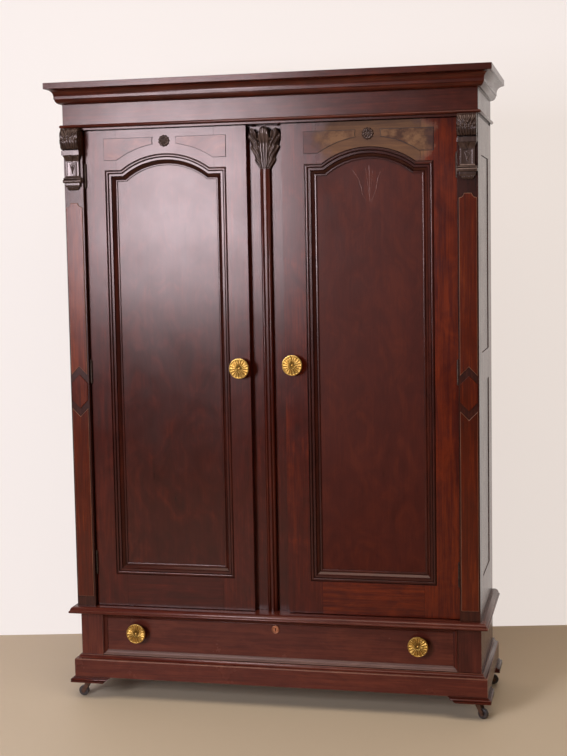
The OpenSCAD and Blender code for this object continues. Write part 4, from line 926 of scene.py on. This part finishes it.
class WARDROBE_OT_corbels(bpy.types.Operator):
    """Carves the two corbels under the ends of the frieze bead"""

    bl_idname = "wardrobe.corbels"
    bl_label = "Corbels"

    def execute(self, context):
        low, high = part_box("left_corbel")
        middle, top = (low.x + high.x) / 2 / MM, high.z / MM
        half, reach, height = (high.x - low.x) / 2 / MM - 1, (high.y - low.y) / MM - 1.5, (high.z - low.z) / MM

        def place(u, v):
            x, out, up = corbel_point(u, v, reach, half, height)
            return middle + x, high.y / MM - out, top + up

        left = carve_sheet("left_carved_corbel", 96, 260, place, 45)
        right = another(left, "right_carved_corbel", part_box("right_corbel")[0] - low)
        for piece, node in ((left, "left_corbel"), (right, "right_corbel")):
            settle(piece, "root", "carving", "carved mahogany", node)
        return {"FINISHED"}


class WARDROBE_OT_rosettes(bpy.types.Operator):
    """Carves the rosettes over the arches of the doors"""

    bl_idname = "wardrobe.rosettes"
    bl_label = "Rosettes"

    def execute(self, context):
        low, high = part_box("left_door_rosette")
        middle = (low + high) / 2 / MM

        def place(u, v):
            x, out, up = rosette_point(u, v, (high.x - low.x) / 2 / MM, 11)
            return middle.x + x, high.y / MM - out, middle.z + up

        left = carve_sheet("left_carved_rosette", 154, 40, place, 60)
        right = another(left, "right_carved_rosette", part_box("right_door_rosette")[0] - low)
        for piece, side in ((left, "left"), (right, "right")):
            settle(piece, side + "_door", "carving", "carved mahogany", side + "_door_rosette")
        return {"FINISHED"}


class WARDROBE_OT_knobs(bpy.types.Operator):
    """Casts the four sunburst knobs, with their bolts, washers and nuts"""

    bl_idname = "wardrobe.knobs"
    bl_label = "Knobs"

    def execute(self, context):
        sizes = context.scene.wardrobe_knobs
        low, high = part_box("left_door_knob")
        radius = (high.z - low.z) / 2 / MM
        face = high.y / MM - sizes.door / MM - BOLT_END
        reach = face - low.y / MM
        middle = Vector(((low.x + high.x) / 2, face * MM, (low.z + high.z) / 2))
        profile = knob_profile(radius - 0.4, reach - 0.5, sizes.door / MM)
        door = turn_piece("left_cast_knob", 8 * sizes.rays, middle, profile)

        def in_ray(co, share):
            """Is the point on the face, and within that share of the width of its ray?"""
            away = math.hypot(co.x - middle.x, co.z - middle.z) / MM
            turn = math.atan2(co.z - middle.z, co.x - middle.x) / (2 * math.pi) * sizes.rays
            on_face = 5.6 < away < radius - 4.6 and (middle.y - co.y) / MM > reach - 7
            return on_face and abs(turn - round(turn)) < share / 2

        for share in (0.8, 0.55, 0.3):
            pick_points(door, lambda co: in_ray(co, share))
            bpy.ops.transform.translate(value=(0, -0.9 * MM, 0))
        set_mode("OBJECT")

        other = another(door, "right_cast_knob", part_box("right_door_knob")[0] - low)
        low_pair, high_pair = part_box("drawer_knobs")
        first = another(door, "drawer_cast_knobs", low_pair - low)
        face = middle.y + (low_pair - low).y
        pick_points(first, lambda co: co.y > face + 1.5 * MM)
        bpy.ops.transform.translate(value=(0, sizes.drawer_front - sizes.door, 0))
        set_mode("OBJECT")
        second = another(first, "drawer_cast_knob", Vector((high_pair.x - low_pair.x - 2 * radius * MM, 0, 0)))
        join([first, second], "drawer_cast_knobs")
        for piece, body, node in (
            (door, "left_door", "left_door_knob"),
            (other, "right_door", "right_door_knob"),
            (first, "drawer", "drawer_knobs"),
        ):
            settle(piece, body, "brass", "toned gilt brass", node)
        return {"FINISHED"}


class WARDROBE_OT_ornament(bpy.types.Operator):
    """Lays the worn lily ornament on the right door's panel"""

    bl_idname = "wardrobe.ornament"
    bl_label = "Panel ornament"

    def execute(self, context):
        low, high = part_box("right_door_panel")
        middle, face = (low.x + high.x) / 2 / MM, low.y / MM
        # three long strokes and two short ones: x from the panel's middle and z, in millimetres
        lines = [
            [(-55, 1818), (-44, 1803), (-33, 1785), (-26, 1760), (-23, 1737), (-10, 1717)],
            [(0, 1833), (1, 1785), (0, 1746), (0.5, 1714)],
            [(38, 1812), (31, 1798), (25, 1772), (20, 1745), (7, 1716)],
            [(-12, 1822), (-9, 1800), (-4, 1770), (-2, 1735)],
            [(12, 1815), (9, 1790), (5, 1760), (2, 1735)],
        ]
        made = []
        for number, line in enumerate(lines):
            width = 1.3 if number < 3 else 0.8

            def place(u, v):
                k = v * (len(line) - 1)
                i = min(len(line) - 2, int(k))
                (x0, z0), (x1, z1) = line[i], line[i + 1]
                x, z = x0 + (x1 - x0) * (k - i), z0 + (z1 - z0) * (k - i)
                long = math.hypot(x1 - x0, z1 - z0)
                off = (u - 0.5) * width * (0.25 + 0.75 * bell(v, 0.45, 0.56)) * 2
                rise = 0.4 * (1 - (2 * u - 1) ** 2) * bell(v, 0.5, 0.5)
                return middle + x + off * (z1 - z0) / long, face - rise, z - off * (x1 - x0) / long

            made.append(carve_sheet("ornament", 6, 40, place, 60))
        ornament = join(made, "right_door_ornament")
        settle(ornament, "right_door", "figured_veneer", "worn ornament")
        return {"FINISHED"}


class WARDROBE_PT_dressing(bpy.types.Panel):
    bl_idname = "WARDROBE_PT_dressing"
    bl_label = "Wardrobe dressing"
    bl_space_type = "VIEW_3D"
    bl_region_type = "UI"
    bl_category = "Wardrobe"

    def draw(self, context):
        for prop in ("floor_colour", "wall_colour", "camera_height"):
            self.layout.prop(context.scene.wardrobe_stage, prop)
        for prop in ("rays", "door", "drawer_front"):
            self.layout.prop(context.scene.wardrobe_knobs, prop)
        for operator in OPERATORS:
            self.layout.operator(operator.bl_idname)


OPERATORS = (
    WARDROBE_OT_stage,
    WARDROBE_OT_finishes,
    WARDROBE_OT_mouldings,
    WARDROBE_OT_side_fields,
    WARDROBE_OT_capital,
    WARDROBE_OT_corbels,
    WARDROBE_OT_rosettes,
    WARDROBE_OT_knobs,
    WARDROBE_OT_ornament,
)
CLASSES = (WardrobeStage, WardrobeKnobs, *OPERATORS, WARDROBE_PT_dressing)


def register():
    for cls in CLASSES:
        bpy.utils.register_class(cls)
    bpy.types.Scene.wardrobe_stage = bpy.props.PointerProperty(type=WardrobeStage)
    bpy.types.Scene.wardrobe_knobs = bpy.props.PointerProperty(type=WardrobeKnobs)


def unregister():
    del bpy.types.Scene.wardrobe_stage, bpy.types.Scene.wardrobe_knobs
    for cls in reversed(CLASSES):
        bpy.utils.unregister_class(cls)


def main():
    register()
    bpy.ops.wardrobe.stage()
    bpy.ops.wardrobe.finishes()
    bpy.ops.wardrobe.mouldings()
    bpy.ops.wardrobe.side_fields()
    bpy.ops.wardrobe.capital()
    bpy.ops.wardrobe.corbels()
    bpy.ops.wardrobe.rosettes()
    bpy.ops.wardrobe.knobs()
    bpy.ops.wardrobe.ornament()


if __name__ == "__main__":
    main()
